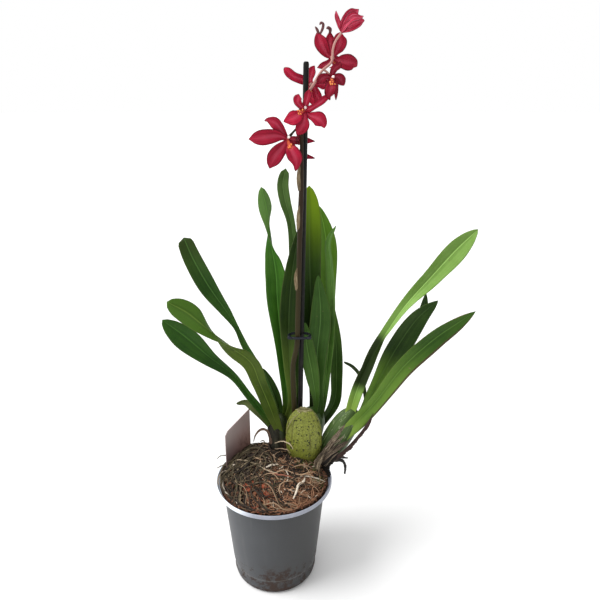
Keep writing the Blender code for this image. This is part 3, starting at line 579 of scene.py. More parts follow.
def wander(count, seed, spot, reach, length, curl, lift):
    """Roots that wander over the mound: a heading that turns steadily and sways, summed into a path.

    Each starts near spot, sets off mostly round the pot, is held inside the wall and arches by lift.
    """
    pick = np.random.default_rng(seed)
    start_x, start_y = scatter(pick, (count, 1), spot, reach)
    run = np.linspace(-0.5, 0.5, ROOT_STEPS)[None, :]
    heading = np.arctan2(start_y, start_x) + np.pi / 2 + pick.normal(0, 0.7, (count, 1))
    heading = heading + pick.normal(0, curl, (count, 1)) * run
    heading = heading + pick.uniform(0.1, 0.7, (count, 1)) * np.sin(
        2 * np.pi * (pick.uniform(0.6, 1.8, (count, 1)) * run + pick.uniform(0, 1, (count, 1))))
    stride = length * pick.uniform(0.45, 1.3, (count, 1)) / ROOT_STEPS
    x = start_x + np.cumsum(np.cos(heading) * stride, axis=1)
    y = start_y + np.cumsum(np.sin(heading) * stride, axis=1)
    radius = np.hypot(x, y)
    brim = BRIM_SHARE * MOUND_SPREAD
    room = BRIM_ROOM * MOUND_SPREAD
    held = np.where(radius > brim, brim + room * np.tanh((radius - brim) / room), radius)
    x, y = x * held / radius, y * held / radius
    arch = np.abs(np.sin(np.pi * (pick.uniform(0.7, 1.6, (count, 1)) * run + pick.uniform(0, 1, (count, 1)))))
    z = mound_height(x, y) + pick.uniform(-0.3, 0.5, (count, 1)) * lift + arch * lift * pick.uniform(
        0.2, 1.0, (count, 1))
    return np.stack([x, y, z], axis=2)


def root_finish(name, dark, light, rough=0.8):
    """Dry root skin: shade by each root's tone, with a little blotching and fine wrinkles."""
    skin = Finish(name, rough, 0.3)
    tone = skin.add("Attribute", {}, "Fac", attribute_name="tone")
    where = skin.place()
    blotch = skin.noise(where, 180.0, 4.0, 0.65)
    share = skin.plus(skin.times(tone, 0.65), skin.times(blotch, 0.45))
    skin.start(share, dark, light)
    skin.dent(skin.noise(where, 1400.0, 2.0), 0.12)
    return skin.paint()


ROOTS = {
    # name: count, spot, reach, length, curl, lift, thinnest, thickest, darkest colour, lightest colour
    "roots_dark": (260, (-10, 6), 48, 44, 1.9, 4.5, 0.45, 1.0, (0.005, 0.004, 0.003), (0.045, 0.028, 0.018)),
    "roots_nest": (105, (-24, 14), 28, 58, 2.0, 7.0, 0.38, 0.74, (0.006, 0.005, 0.003), (0.13, 0.100, 0.056)),
    "roots_tan": (90, (0, -8), 44, 44, 2.2, 4.5, 0.34, 0.66, (0.08, 0.048, 0.026), (0.48, 0.32, 0.20)),
    "coir_fibres": (620, (8, -28), 36, 18, 1.8, 3.2, 0.18, 0.34, (0.09, 0.036, 0.018), (0.52, 0.27, 0.15)),
    "roots_pale": (30, (2, -10), 44, 17, 1.4, 3.5, 0.34, 0.62, (0.34, 0.25, 0.17), (0.78, 0.68, 0.55)),
    "roots_rim": (60, (0, 0), 57, 60, 0.5, 2.0, 0.35, 0.80, (0.010, 0.007, 0.005), (0.16, 0.10, 0.06)),
}
for root_name, (count, spot, reach, length, curl, lift, thin, thick, dark, light) in ROOTS.items():
    lines = wander(count, count + 7, spot, reach, length, curl, lift)
    pick = np.random.default_rng(count)
    taper = np.interp(np.linspace(0, 1, lines.shape[1]), (0.0, 0.15, 0.8, 1.0), (0.55, 1.0, 0.8, 0.3))
    radii = pick.uniform(thin, thick, (count, 1)) * taper
    piece(root_name, rods(lines, radii, 6), root_finish(root_name, dark, light), "dry_roots",
          tone=pick.uniform(0, 1, count))


def smooth_line(rows, count):
    """Even stations along a centripetal Catmull-Rom curve through rows, read by arc length."""
    rows = np.asarray(rows, float)
    rows = np.vstack([2 * rows[0] - rows[1], rows, 2 * rows[-1] - rows[-2]])
    knots = np.append(0.0, np.cumsum(np.sqrt(np.linalg.norm(np.diff(rows[:, :3], axis=0), axis=1))))
    spans = []
    for i in range(1, len(rows) - 2):
        k0, k1, k2, k3 = knots[i - 1:i + 3]
        t = np.linspace(k1, k2, 16, endpoint=False)[:, None]
        a = ((k1 - t) * rows[i - 1] + (t - k0) * rows[i]) / (k1 - k0)
        b = ((k2 - t) * rows[i] + (t - k1) * rows[i + 1]) / (k2 - k1)
        c = ((k3 - t) * rows[i + 1] + (t - k2) * rows[i + 2]) / (k3 - k2)
        d = ((k2 - t) * a + (t - k0) * b) / (k2 - k0)
        e = ((k3 - t) * b + (t - k1) * c) / (k3 - k1)
        spans.append(((k2 - t) * d + (t - k1) * e) / (k2 - k1))
    line = np.vstack(spans + [rows[-2][None]])
    run = np.append(0.0, np.cumsum(np.linalg.norm(np.diff(line[:, :3], axis=0), axis=1)))
    stops = np.linspace(0.0, run[-1], count)
    return np.stack([np.interp(stops, run, column) for column in line.T], axis=1)


# Roots that stand out by themselves, as (x, y, height above the mound, radius)
LYING_ROOTS = {
    "root_white_back": ((-10, -8, 2.4, 0.5), (-6, -6, 3.6, 1.0), (-1, -4, 4.0, 1.1), (5, -3, 3.2, 0.5)),
    "root_white_front": ((32, -17, 2.6, 0.6), (30.5, -23, 3.4, 1.1), (25.5, -28, 3.4, 1.2),
                         (23.5, -35, 3.2, 1.1), (20.5, -42, 2.6, 0.7)),
    "root_strand_left": ((-53, 20, 2.8, 0.4), (-36, 11, 4, 0.7), (-19, -1, 4.2, 0.7), (-4, -13, 4.2, 0.7),
                         (5, -16, 3.8, 0.5)),
    "root_strand_rim": ((-42, 8, 3.2, 0.5), (-49, 0, 2.7, 0.7), (-52, -10, 2.2, 0.7), (-49, -22, 2.2, 0.8),
                        (-34, -42, 1.7, 0.5)),
    "root_red": ((-4, -13, 2.8, 0.6), (5, -17, 3.2, 1.0), (14, -19, 3.2, 1.0), (20, -19, 2.4, 0.5)),
    "root_strand_right": ((20, -20, 1.8, 0.5), (33, -15, 2.6, 0.7), (44, -13, 2.4, 0.7), (53, -10, 1.8, 0.4)),
    "root_arc_outer": ((-54, 10, 2.2, 0.4), (-48, 24, 3.7, 0.7), (-36, 35, 4.2, 0.8), (-22, 38, 4.2, 0.7),
                       (-10, 34, 3.2, 0.4)),
    "root_arc_inner": ((-50, 2, 2.2, 0.4), (-42, 14, 4.2, 0.7), (-28, 22, 4.2, 0.7), (-14, 22, 3.2, 0.4)),
    "root_arc_low": ((-50, -8, 2.2, 0.4), (-36, -2, 3.8, 0.6), (-22, 6, 4.2, 0.7), (-10, 10, 2.7, 0.4)),
    "root_fork": ((10, -8, 2, 0.4), (14, -14, 3.4, 0.5), (15, -22, 3, 0.5), (10, -30, 2, 0.3)),
}
# Roots that leave the mound, as (x, y, height above the floor, radius)
STANDING_ROOTS = {
    "root_over_bulb": ((0, 18, 141, 0.3), (6, 14, 146, 0.5), (12, 9, 149, 0.6), (17, 6.6, 147, 0.5),
                       (20, 6.4, 142, 0.3)),
    "root_cream_back": ((0, 18, 134, 0.3), (8, 13, 138, 0.5), (14, 9, 139, 0.5), (17, 8, 136, 0.3)),
    "root_hooked": ((54, 20, 116, 1.8), (64, 18, 120, 2.0), (71, 18, 120, 1.8), (75, 18, 115, 1.5),
                    (75.5, 18, 108, 1.3), (75, 18, 103, 1.0)),
    "root_stray_back": ((-44, 22, 121, 0.5), (-53, 20, 125, 0.6), (-59, 19, 124, 0.5), (-62, 18, 121, 0.3)),
    "root_stray_rim": ((-46, 12, 117, 0.6), (-54, 10, 119.5, 0.7), (-61, 8, 117, 0.4)),
    "root_stray_low": ((-44, 4, 116, 0.6), (-52, 2, 118, 0.7), (-57, -6, 115.5, 0.6), (-56, -14, 113, 0.4)),
    "root_stub": ((60, 20, 122, 2.4), (70, 18, 124, 1.6), (78, 18, 123, 0.7)),
    "root_limb": ((44, 16, 116, 2.4), (54, 14, 119, 2.2), (62, 16, 121, 2.0), (68, 18, 122, 1.2)),
}
STRAY_COLOURS = {
    "root_hooked": ((0.006, 0.005, 0.005), (0.022, 0.018, 0.016)),
    "root_stub": ((0.007, 0.005, 0.005), (0.03, 0.022, 0.018)),
    "root_limb": ((0.012, 0.008, 0.007), (0.07, 0.045, 0.032)),
    "root_red": ((0.14, 0.04, 0.022), (0.36, 0.13, 0.08)),
    "root_strand_left": ((0.14, 0.095, 0.06), (0.52, 0.41, 0.29)),
    "root_arc_outer": ((0.05, 0.040, 0.022), (0.30, 0.24, 0.15)),
    "root_arc_inner": ((0.05, 0.040, 0.022), (0.27, 0.22, 0.13)),
    "root_arc_low": ((0.08, 0.055, 0.030), (0.38, 0.29, 0.18)),
    "root_over_bulb": ((0.18, 0.12, 0.07), (0.66, 0.54, 0.38)),
    "root_cream_back": ((0.10, 0.06, 0.04), (0.40, 0.29, 0.19)),
    "root_stray_back": ((0.030, 0.024, 0.018), (0.20, 0.17, 0.13)),
    "root_stray_rim": ((0.040, 0.030, 0.022), (0.26, 0.21, 0.16)),
    "root_stray_low": ((0.10, 0.07, 0.05), (0.42, 0.35, 0.27)),
}
for root_name, stations in (LYING_ROOTS | STANDING_ROOTS).items():
    rows = np.array(stations, float)
    if root_name in LYING_ROOTS:
        rows[:, 2] += mound_height(rows[:, 0], rows[:, 1])
    line = smooth_line(rows, 40)
    run = np.linspace(0, 1, 40)
    sway = 0.3 * ripple(run * 60, 0 * run + rows[0, 0], 30, 12, 22.0, 6.0)[:, None] * (0.7, 0.7, 1.0)
    thick = line[:, 3] * (1 + 0.25 * ripple(run * 60, 0 * run, 31, 12, 9.0, 3.0))
    points = rods((line[:, :3] + sway)[None], thick[None], 10)
    dark, light = STRAY_COLOURS.get(root_name, ((0.34, 0.25, 0.17), (0.84, 0.76, 0.64)))
    piece(root_name, points, root_finish(root_name, dark, light, 0.6), "dry_roots", tone=[0.6])


def moss_tuft(count, seed, spot, reach):
    """Short green shoots that stand up from one damp spot, each leaning its own way."""
    pick = np.random.default_rng(seed)
    x, y = scatter(pick, count, spot, reach)
    foot = np.stack([x, y, mound_height(x, y) - 0.5], axis=1)[:, None]
    lean = pick.normal(0, 0.8, (count, 1, 3)) + (0, 0, 1.6)
    rise = np.linspace(0, 1, 5)[None, :, None]
    bow = pick.normal(0, 0.7, (count, 1, 3)) * rise * rise
    return foot + (lean * rise + bow) * pick.uniform(0.7, 1.8, (count, 1, 1))


moss_lines = np.concatenate([moss_tuft(460, 3, (33, 0), 11), moss_tuft(60, 4, (0, -28), 4),
                             moss_tuft(130, 5, (46, -14), 7), moss_tuft(80, 8, (-34, -18), 7)])
moss_radii = np.linspace(0.42, 0.1, 5)[None] * np.ones((len(moss_lines), 1))
piece("moss", rods(moss_lines, moss_radii, 4, (0.6, 0.8, 0.0)),
      root_finish("green_moss", (0.008, 0.022, 0.004), (0.10, 0.17, 0.025)), "dry_roots",
      tone=np.random.default_rng(9).uniform(0, 1, len(moss_lines)))

# ---------------------------------------------------------------- stake
# A straight steel rod in a black plastic sleeve, rounded at its top, pushed down through the root ball to
# hold the spike upright.

stake_low, stake_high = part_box("stake")
STAKE_RADIUS = 2.5


def stake_line(count):
    """Stations on the rod's straight axis, from its foot to its top."""
    share = np.linspace(0, 1, count)
    near_end = np.linspace(0, 0.005, 10)[:-1]
    share = np.concatenate([near_end, 0.005 + 0.99 * share, 1 - near_end[::-1]])[:, None]
    middle = (stake_low.y + stake_high.y) / 2 / MM
    foot = np.array([stake_low.x / MM + STAKE_RADIUS, middle, stake_low.z / MM])
    top = np.array([stake_high.x / MM - STAKE_RADIUS, middle, stake_high.z / MM])
    return foot + (top - foot) * share


def stake_finish():
    """Black plastic with a slight ripple round it and dusty scuffs."""
    black = Finish("black_sleeve", 0.38, 0.16)
    where = black.place()
    dust = black.band(black.noise(where, 130.0, 4.0), 0.5, 0.8)
    black.start(dust, (0.004, 0.004, 0.004), (0.016, 0.016, 0.012))
    rings = black.add("TexWave", {"Vector": where, "Scale": 110.0, "Distortion": 0.6}, "Fac",
                      wave_type="BANDS", bands_direction="Z")
    black.dent(rings, 0.08, 0.5)
    return black.paint()


def stake_surface():
    """A rod whose last few millimetres close in as a dome at the top and a blunt point below."""
    line = stake_line(120)
    down = (stake_high.z / MM - line[:, 2]) / STAKE_RADIUS
    up = (line[:, 2] - stake_low.z / MM) / STAKE_RADIUS
    dome = np.sqrt(np.clip(1 - (1 - np.clip(down, 0, 1)) ** 2, 0, 1))
    swell = np.minimum(0.55 + 0.45 * dome, np.clip(0.3 + up, 0, 1))
    return rods(line[None], (STAKE_RADIUS * swell)[None], 32, (0, -1, 0))


piece("stake_rod", stake_surface(), stake_finish(), "stake_plastic", "stake")

# ---------------------------------------------------------------- clip
# A springy ring of dark blue plastic that snaps round the stake and the spike, closed by a small catch.

clip_low, clip_high = (np.array(corner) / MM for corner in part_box("stake_clip"))
CLIP_ROD = 1.35
CATCH_ROD = 1.5


def clip_line(count):
    """The ring's centre line: two straight runs joined by half circles."""
    centre = (clip_low + clip_high) / 2
    half = (clip_high - clip_low) / 2 - CLIP_ROD
    straight = half[0] - half[1]
    turn = np.linspace(-np.pi / 2, 3 * np.pi / 2, count, endpoint=False)
    side = np.where(np.cos(turn) >= 0, 1.0, -1.0)
    return np.stack([centre[0] + side * straight + half[1] * np.cos(turn), centre[1] + half[1] * np.sin(turn),
                     centre[2] + 0 * turn], axis=1)


def ring_rod(line, radius, sides):
    """A closed rod round a loop that lies level: line + radius (cos a out + sin a up)."""
    forward = np.roll(line, -1, axis=0) - np.roll(line, 1, axis=0)
    forward /= np.linalg.norm(forward, axis=1, keepdims=True)
    out = np.cross(forward, (0.0, 0.0, 1.0))
    turn = np.linspace(0, 2 * np.pi, sides + 1)[:, None]
    return line[None] + radius * (np.cos(turn)[..., None] * out[None] + np.sin(turn)[..., None] * (0, 0, 1))


def clip_finish():
    """Glossy dark blue plastic."""
    blue = Finish("blue_clip_plastic", 0.30, 0.3)
    where = blue.place()
    blue.start(blue.noise(where, 200.0), (0.004, 0.005, 0.009), (0.009, 0.011, 0.020))
    blue.dent(blue.noise(where, 600.0), 0.06)
    return blue.paint()


piece("clip_ring", ring_rod(clip_line(96), CLIP_ROD, 14), clip_finish(), "clip_plastic", "stake_clip")
catch_centre = (clip_low + clip_high) / 2
for catch_name, catch_side in (("clip_catch_left", -1), ("clip_catch_right", 1)):
    reach = catch_side * (clip_high[0] - clip_low[0]) / 2
    tab = np.array([[reach * 0.62, 0, 0], [reach * 0.8, 0, 0.3], [reach * 0.98, 0, 0.2]])
    tab = smooth_line(catch_centre + tab + (0, clip_low[1] - catch_centre[1] + CLIP_ROD, 0), 12)
    piece(catch_name, rods(tab[None], np.full((1, 12), CATCH_ROD), 12), clip_finish(), "clip_plastic")

# ---------------------------------------------------------------- card label
# A stiff card with one cut corner whose tongue is pushed down between the roots and the wall.  It is blank,
# mauve-grey, and stained reddish brown by splashes of wet compost.


def label_finish():
    """Mauve-grey card, with wet stains that creep up from the mix and across one side."""
    card = Finish("stained_card", 0.72, 0.25)
    where = card.place()
    card.start(card.noise(where, 30.0, 4.0), (0.33, 0.26, 0.25), (0.47, 0.40, 0.38))
    right = card.band(card.axis("X"), -0.050, -0.030)
    low = card.band(card.axis("Z"), 0.162, 0.122)
    soaked = card.blend(right, (0.115, 0.062, 0.062), (0.330, 0.165, 0.130))
    card.lay(right, (0.30, 0.19, 0.175), 0.5)
    card.lay(low, soaked, 0.85)
    blot = card.band(card.grain((70.0, 70.0, 30.0), 5.0, 0.65, "Object"), 0.5, 0.64)
    stain = card.times(blot, card.plus(card.times(low, 0.45), card.times(right, 0.15)))
    card.lay(stain, (0.055, 0.020, 0.016))
    card.dent(card.noise(where, 500.0), 0.08)
    return card.paint()


repaint("plant_label", label_finish())

# ---------------------------------------------------------------- pseudobulbs
# Swollen water-storing stems, flattened front to back.  The old leafless one at the front is yellow-green,
# wrinkled and pitted, with a papery scar for a cap; the younger ones are green and still sheathed.

BULB_ROWS = 72
BULB_COLUMNS = 112
BULBS = {
    # foot and crown as (x, y, height above the mix), width, depth, how square
    "bulb_old_front": ((31, 17, 10), (31, 18, 78), 38, 22, 2.3),
    "bulb_left": ((8, 31, 10), (5, 34, 62), 19, 23, 2.4),
    "bulb_middle": ((31, 42, 9), (44, 50, 62), 30, 22, 2.4),
    "bulb_right": ((52, 24, 13), (85, 29, 71), 30, 18, 2.4),
}


def bulb_surface(foot, crown, width, depth, square, wrinkle):
    """A squared-off ball stretched from foot to crown: |r|^p + |h|^p = 1, wrinkled lengthwise."""
    foot, crown = from_mix([foot, crown])
    length = np.linalg.norm(crown - foot)
    upright = (crown - foot) / length
    depthwise = np.array([0.0, 1.0, 0.0]) - upright * upright[1]
    depthwise /= np.linalg.norm(depthwise)
    across = np.cross(depthwise, upright)
    height = -np.cos(np.linspace(0, np.pi, BULB_ROWS))[:, None]
    turn = full_turn(BULB_COLUMNS)[None, :]
    swell = np.clip(1 - np.abs(height) ** square, 0, 1) ** (1 / square)
    folds = ripple(np.cos(turn) * 30 + 0 * height, np.sin(turn) * 30 + height * 6, 12, 24, 26.0, 7.0)
    dimples = ripple(np.cos(turn) * 30 + 0 * height, np.sin(turn) * 30 + height * 30, 13, 30, 9.0, 3.0)
    swell = swell * (1 + wrinkle * (folds + 0.5 * dimples) / 20.0)
    x = swell * np.cos(turn) * width / 2
    y = swell * np.sin(turn) * depth / 2
    z = (height + 0 * turn) * length / 2
    middle = (foot + crown) / 2
    return middle + x[..., None] * across + y[..., None] * depthwise + z[..., None] * upright


def wrap_uv(points, rounds=1):
    """Round a surface, 0 to 1 or as often as asked, and from its first row to its last, 0 to 1."""
    rows, columns = points.shape[-3:-1]
    return np.stack(np.meshgrid(np.linspace(0, rounds, columns + 1), np.linspace(0, 1, rows)), axis=2)


def old_bulb_finish():
    """Yellow-green skin with brown lengthwise staining, browner towards its foot, fine dark lines, specks and
    dark pits.
    """
    skin = Finish("old_bulb_skin", 0.5, 0.35, {"Subsurface Weight": 0.06,
                                                "Subsurface Radius": (0.004, 0.004, 0.001)})
    where = skin.place()
    up = skin.axis("Y", "UV")
    cloud = skin.noise(where, 70.0, 4.0)
    skin.start(cloud, (0.120, 0.140, 0.015), (0.265, 0.290, 0.038))
    streaks = skin.grain((34.0, 2.4, 1.0), 4.0, 0.6)
    skin.lay(skin.band(streaks, 0.52, 0.72, 0.0, 0.6), (0.27, 0.29, 0.065))
    skin.lay(skin.band(streaks, 0.46, 0.30, 0.0, 0.75), (0.060, 0.052, 0.009))
    low = skin.times(skin.band(up, 0.5, 0.08), skin.band(skin.noise(where, 110.0), 0.35, 0.65))
    skin.lay(low, (0.055, 0.038, 0.010), 0.8)
    mesh_lines = skin.band(skin.cells(where, 330.0, "DISTANCE_TO_EDGE"), 0.10, 0.0)
    skin.lay(mesh_lines, (0.050, 0.050, 0.009), 0.55)
    pits = skin.band(skin.cells(where, 300.0), 0.36, 0.20)
    some = skin.band(skin.noise(where, 120.0), 0.42, 0.52)
    pits = skin.times(pits, some)
    specks = skin.times(skin.band(skin.cells(where, 520.0), 0.30, 0.16), skin.band(up, 0.35, 0.7))
    skin.lay(specks, (0.040, 0.042, 0.008), 0.7)
    skin.lay(pits, (0.022, 0.028, 0.006), 0.9)
    skin.dent(streaks, 0.9)
    skin.dent(skin.cells(where, 330.0), 0.45, 0.8)
    skin.dent(skin.maths("SUBTRACT", 1.0, pits), 0.8, 1.0)
    return skin.paint()


def young_bulb_finish(name, green, pale, foot, foot_height):
    """Green ribbed skin with pale dotted streaks, brown and dry towards the foot."""
    skin = Finish(name, 0.42, 0.35)
    where = skin.place()
    up = skin.axis("Y", "UV")
    ribs = skin.grain((46.0, 1.6, 1.0), 3.0)
    skin.start(skin.band(ribs, 0.35, 0.65), green, tint(green, 1.7))
    dots = skin.grain((60.0, 14.0, 1.0), 2.0)
    dashes = skin.times(skin.band(dots, 0.58, 0.66), skin.band(ribs, 0.46, 0.56))
    skin.lay(dashes, pale, 0.8)
    dry = skin.band(skin.plus(up, skin.times(skin.noise(where, 60.0), 0.3)),
                    foot_height + 0.22, foot_height)
    skin.lay(dry, foot)
    skin.dent(ribs, 0.7)
    return skin.paint()


BULB_FINISHES = {
    "bulb_old_front": old_bulb_finish(),
    "bulb_left": young_bulb_finish("bulb_left_skin", (0.014, 0.022, 0.005), (0.07, 0.08, 0.035),
                                   (0.028, 0.018, 0.012), 0.55),
    "bulb_middle": young_bulb_finish("bulb_middle_skin", (0.030, 0.060, 0.012), (0.12, 0.16, 0.07),
                                     (0.03, 0.022, 0.012), 0.3),
    "bulb_right": young_bulb_finish("bulb_right_skin", (0.040, 0.074, 0.014), (0.34, 0.38, 0.22),
                                    (0.06, 0.040, 0.024), 0.22),
}
for bulb_name, shape in BULBS.items():
    wrinkle, slot = (0.55, "bulb_skin") if bulb_name == "bulb_old_front" else (0.22, "young_bulb_skin")
    points = bulb_surface(*shape, wrinkle)
    piece(bulb_name + "_skin", points, BULB_FINISHES[bulb_name], slot, bulb_name, uv=wrap_uv(points))

# ---------------------------------------------------------------- leaves
# Strap leaves in two ranks from the bulbs' crowns: thin, leathery, folded at the foot and opening to a
# shallow V, with a sunken midrib above and a keel below.  Edges and tips dry brown with age.

FRONT = np.array([0.0, -1.0, 0.0])
LEAF_THICKNESS = 1.0
LEAF_GLOSS = 0.42
WORN_FROM = 1.32
WORN_THROUGH = 1.40


def blade_frame(rows, roll, fold, tip, along):
    """Centre, side, normal, half width and fold angle at each station of a blade's midrib."""
    line = smooth_line(rows, along)
    centre, width = line[:, :3], np.maximum(line[:, 3], 0.3)
    share = np.linspace(0, 1, along)
    left = np.clip((1 - share) / tip, 0, 1)
    half = width / 2 * np.sqrt(left * (2 - left))
    forward = np.gradient(centre, axis=0)
    forward /= np.linalg.norm(forward, axis=1)[:, None]
    normal = FRONT - (forward @ FRONT)[:, None] * forward
    normal /= np.linalg.norm(normal, axis=1)[:, None]
    side = np.cross(forward, normal)
    turn = np.radians(np.interp(share, np.linspace(0, 1, len(roll)), roll))[:, None]
    side, normal = np.cos(turn) * side + np.sin(turn) * normal, np.cos(turn) * normal - np.sin(turn) * side
    crease = np.radians(np.interp(share, np.linspace(0, 1, len(fold)), fold))
    return centre, side, normal, half, crease, share


def blade_surface(rows, thickness, roll=(0, 0), fold=(15, 40, 30, 15), tip=0.06, wave=0.0, phase=0.0,
                  keel=0.5, ragged=0.0, curl=0.0, along=72, across=15):
    """A closed two-sided blade.

    Across it, s runs from -1 to 1: the section is half s cos(fold) sideways and half c(s) sin(fold) out,
    where c(s) is |s| rounded at the crease.  A wave grows towards the edges, curl bends them back, and
    ragged is the share of the half width by which they are nibbled.
    The upper and lower skins stand half the thickness off, thinning to the edge, with a keel below.
    """
    centre, side, normal, half, crease, share = blade_frame(rows, roll, fold, tip, along)
    s = np.linspace(-1, 1, across)[None, :]
    half, crease, t = half[:, None], crease[:, None], share[:, None]
    if ragged:
        nibble = ripple(t * 60 + 0 * s, 9 * np.sign(s) + 0 * t, int(phase * 10) + 3, 16, 14.0, 2.5)
        half = half * (1 + ragged * nibble * np.abs(s) ** 2)
    vee = np.sqrt(s * s + 0.0196) - 0.14
    sway = wave * np.sin(2 * np.pi * (1.7 * t + 0.5 * np.sign(s) * 0.37) + phase) * np.abs(s) ** 1.5
    sway = sway + 0.3 * wave * np.sin(2 * np.pi * 4.3 * t + 2 * phase + s) * np.abs(s)
    out = half * vee * np.sin(crease) + sway * np.minimum(half / 8, 1) - curl * half * s ** 4
    middle = centre[:, None] + (half * s * np.cos(crease))[..., None] * side[:, None]
    middle = middle + out[..., None] * normal[:, None]
    lengthwise, crosswise = np.gradient(middle, axis=0), np.gradient(middle, axis=1)
    skin = np.cross(crosswise, lengthwise)
    skin /= np.linalg.norm(skin, axis=2, keepdims=True) + 1e-9
    skin *= np.sign((skin * normal[:, None]).sum(axis=2, keepdims=True) + 1e-9)
    thin = thickness / 2 * (1 - 0.72 * s ** 4) * np.minimum(1.0, half / 2.5 + 0.15)
    ridge = keel * np.exp(-(s / 0.09) ** 2) * np.minimum(half / 6, 1)
    upper = middle + (thin - 0.35 * ridge)[..., None] * skin
    lower = middle - (thin + ridge)[..., None] * skin
    ring = np.concatenate([upper, lower[:, ::-1]], axis=1)
    ends = np.repeat(centre[(0, -1), None], ring.shape[1], axis=1)
    return np.concatenate([ends[:1], ring, ends[1:]])


def blade_uv(points):
    """0 to 1 across the upper skin, 1 to 2 back across the lower one, and 0 to 1 from foot to tip."""
    upper = np.linspace(0, 1, points.shape[1] // 2)
    along = np.linspace(0, 1, points.shape[0] - 2)
    return np.stack(np.meshgrid([*upper, *(1 + upper), 2.0], [0.0, *along, 1.0]), axis=2)


def across_blade(skin, spot):
    """How far across either skin, 0 to 1, and how far from the midrib, 0 there and 1 at both edges."""
    one_side = skin.maths("FRACT", spot)
    return one_side, skin.off(skin.times(one_side, 2.0), 1.0)


def leaf_finish(name, green, foot, wear=0.12, browned=(0.10, 0.085, 0.03), ends=None, shaded=None, half=0.0,
                seared=False):
    """Leaf skin: deep green with brighter clouds and fine veins, a pale midrib and dry, brown edges."""
    deep, bright = green
    skin = Finish(name, LEAF_GLOSS, 0.11, {"Subsurface Weight": 0.04,
                                           "Subsurface Radius": (0.001, 0.003, 0.0005)})
    where = skin.place()
    spot = skin.axis("X", "UV")
    along = skin.axis("Y", "UV")
    under = skin.band(spot, 0.999, 1.001)
    one_side, edge = across_blade(skin, spot)
    veins = skin.grain((34.0, 2.2, 1.0), 4.0, 0.6)
    cloud = skin.noise(where, 24.0, 3.0)
    share = skin.plus(skin.times(cloud, 0.8), skin.times(veins, 0.5))
    skin.start(skin.band(share, 0.42, 0.92), deep, bright)
    if ends:
        start, stop, glow = ends
        skin.lay(skin.band(along, start, stop), glow)
    skin.lay(under, tint(bright, 1.8, 0.03), 0.18)
    # Painted shade: half darkens the blade on one side of its midrib, the half of the fold that lies in
    # shade.
    if half:
        skin.lay(skin.band(one_side, 0.50, 0.44, 0.0, half), tint(deep, 0.5))
    rib = skin.band(edge, 0.09, 0.02)
    skin.lay(rib, tint(bright, 1.9, 0.02), 0.42)
    beside = skin.times(skin.band(edge, 0.34, 0.10), skin.band(edge, 0.03, 0.10))
    skin.lay(beside, tint(deep, 0.5), 0.22)
    skin.lay(skin.band(along, 0.22, 0.02, 0.0, 0.9), foot)
    if shaded:
        start, full, last, stop = shaded
        dim = skin.times(skin.band(along, start, full), skin.band(along, stop, last))
        skin.lay(dim, tint(deep, 0.07), 0.97)
    if seared:
        burnt = skin.times(skin.band(one_side, 0.88, 0.95), skin.band(along, 0.10, 0.25))
        skin.lay(burnt, (0.055, 0.028, 0.016), 0.9)
    rim = skin.band(edge, 0.90, 1.0)
    skin.lay(rim, (0.11, 0.13, 0.035), 0.35)
    worn = skin.plus(skin.times(edge, 0.62), skin.times(along, 0.30))
    worn = skin.plus(worn, skin.times(skin.noise(where, 55.0, 5.0, 0.7), 0.55))
    dry = skin.band(worn, WORN_FROM - wear * 0.6, WORN_THROUGH - wear * 0.6)
    skin.lay(dry, browned)
    scars = skin.band(skin.noise(where, 210.0, 2.0), 0.74, 0.78)
    skin.lay(scars, (0.16, 0.13, 0.06), 0.5)
    skin.dent(veins, 0.28, 0.9)
    skin.dent(skin.noise(where, 60.0, 3.0), 0.9, 0.5)
    return skin.paint(skin.band(dry, 0.0, 1.0, LEAF_GLOSS, 0.8))


# FOOT_IN_SHADE is painted shade: a dark foot colour for the leaves that stand back among the bulbs.
FOOT_GREEN, FOOT_IN_SHADE = (0.075, 0.105, 0.016), (0.026, 0.034, 0.008)

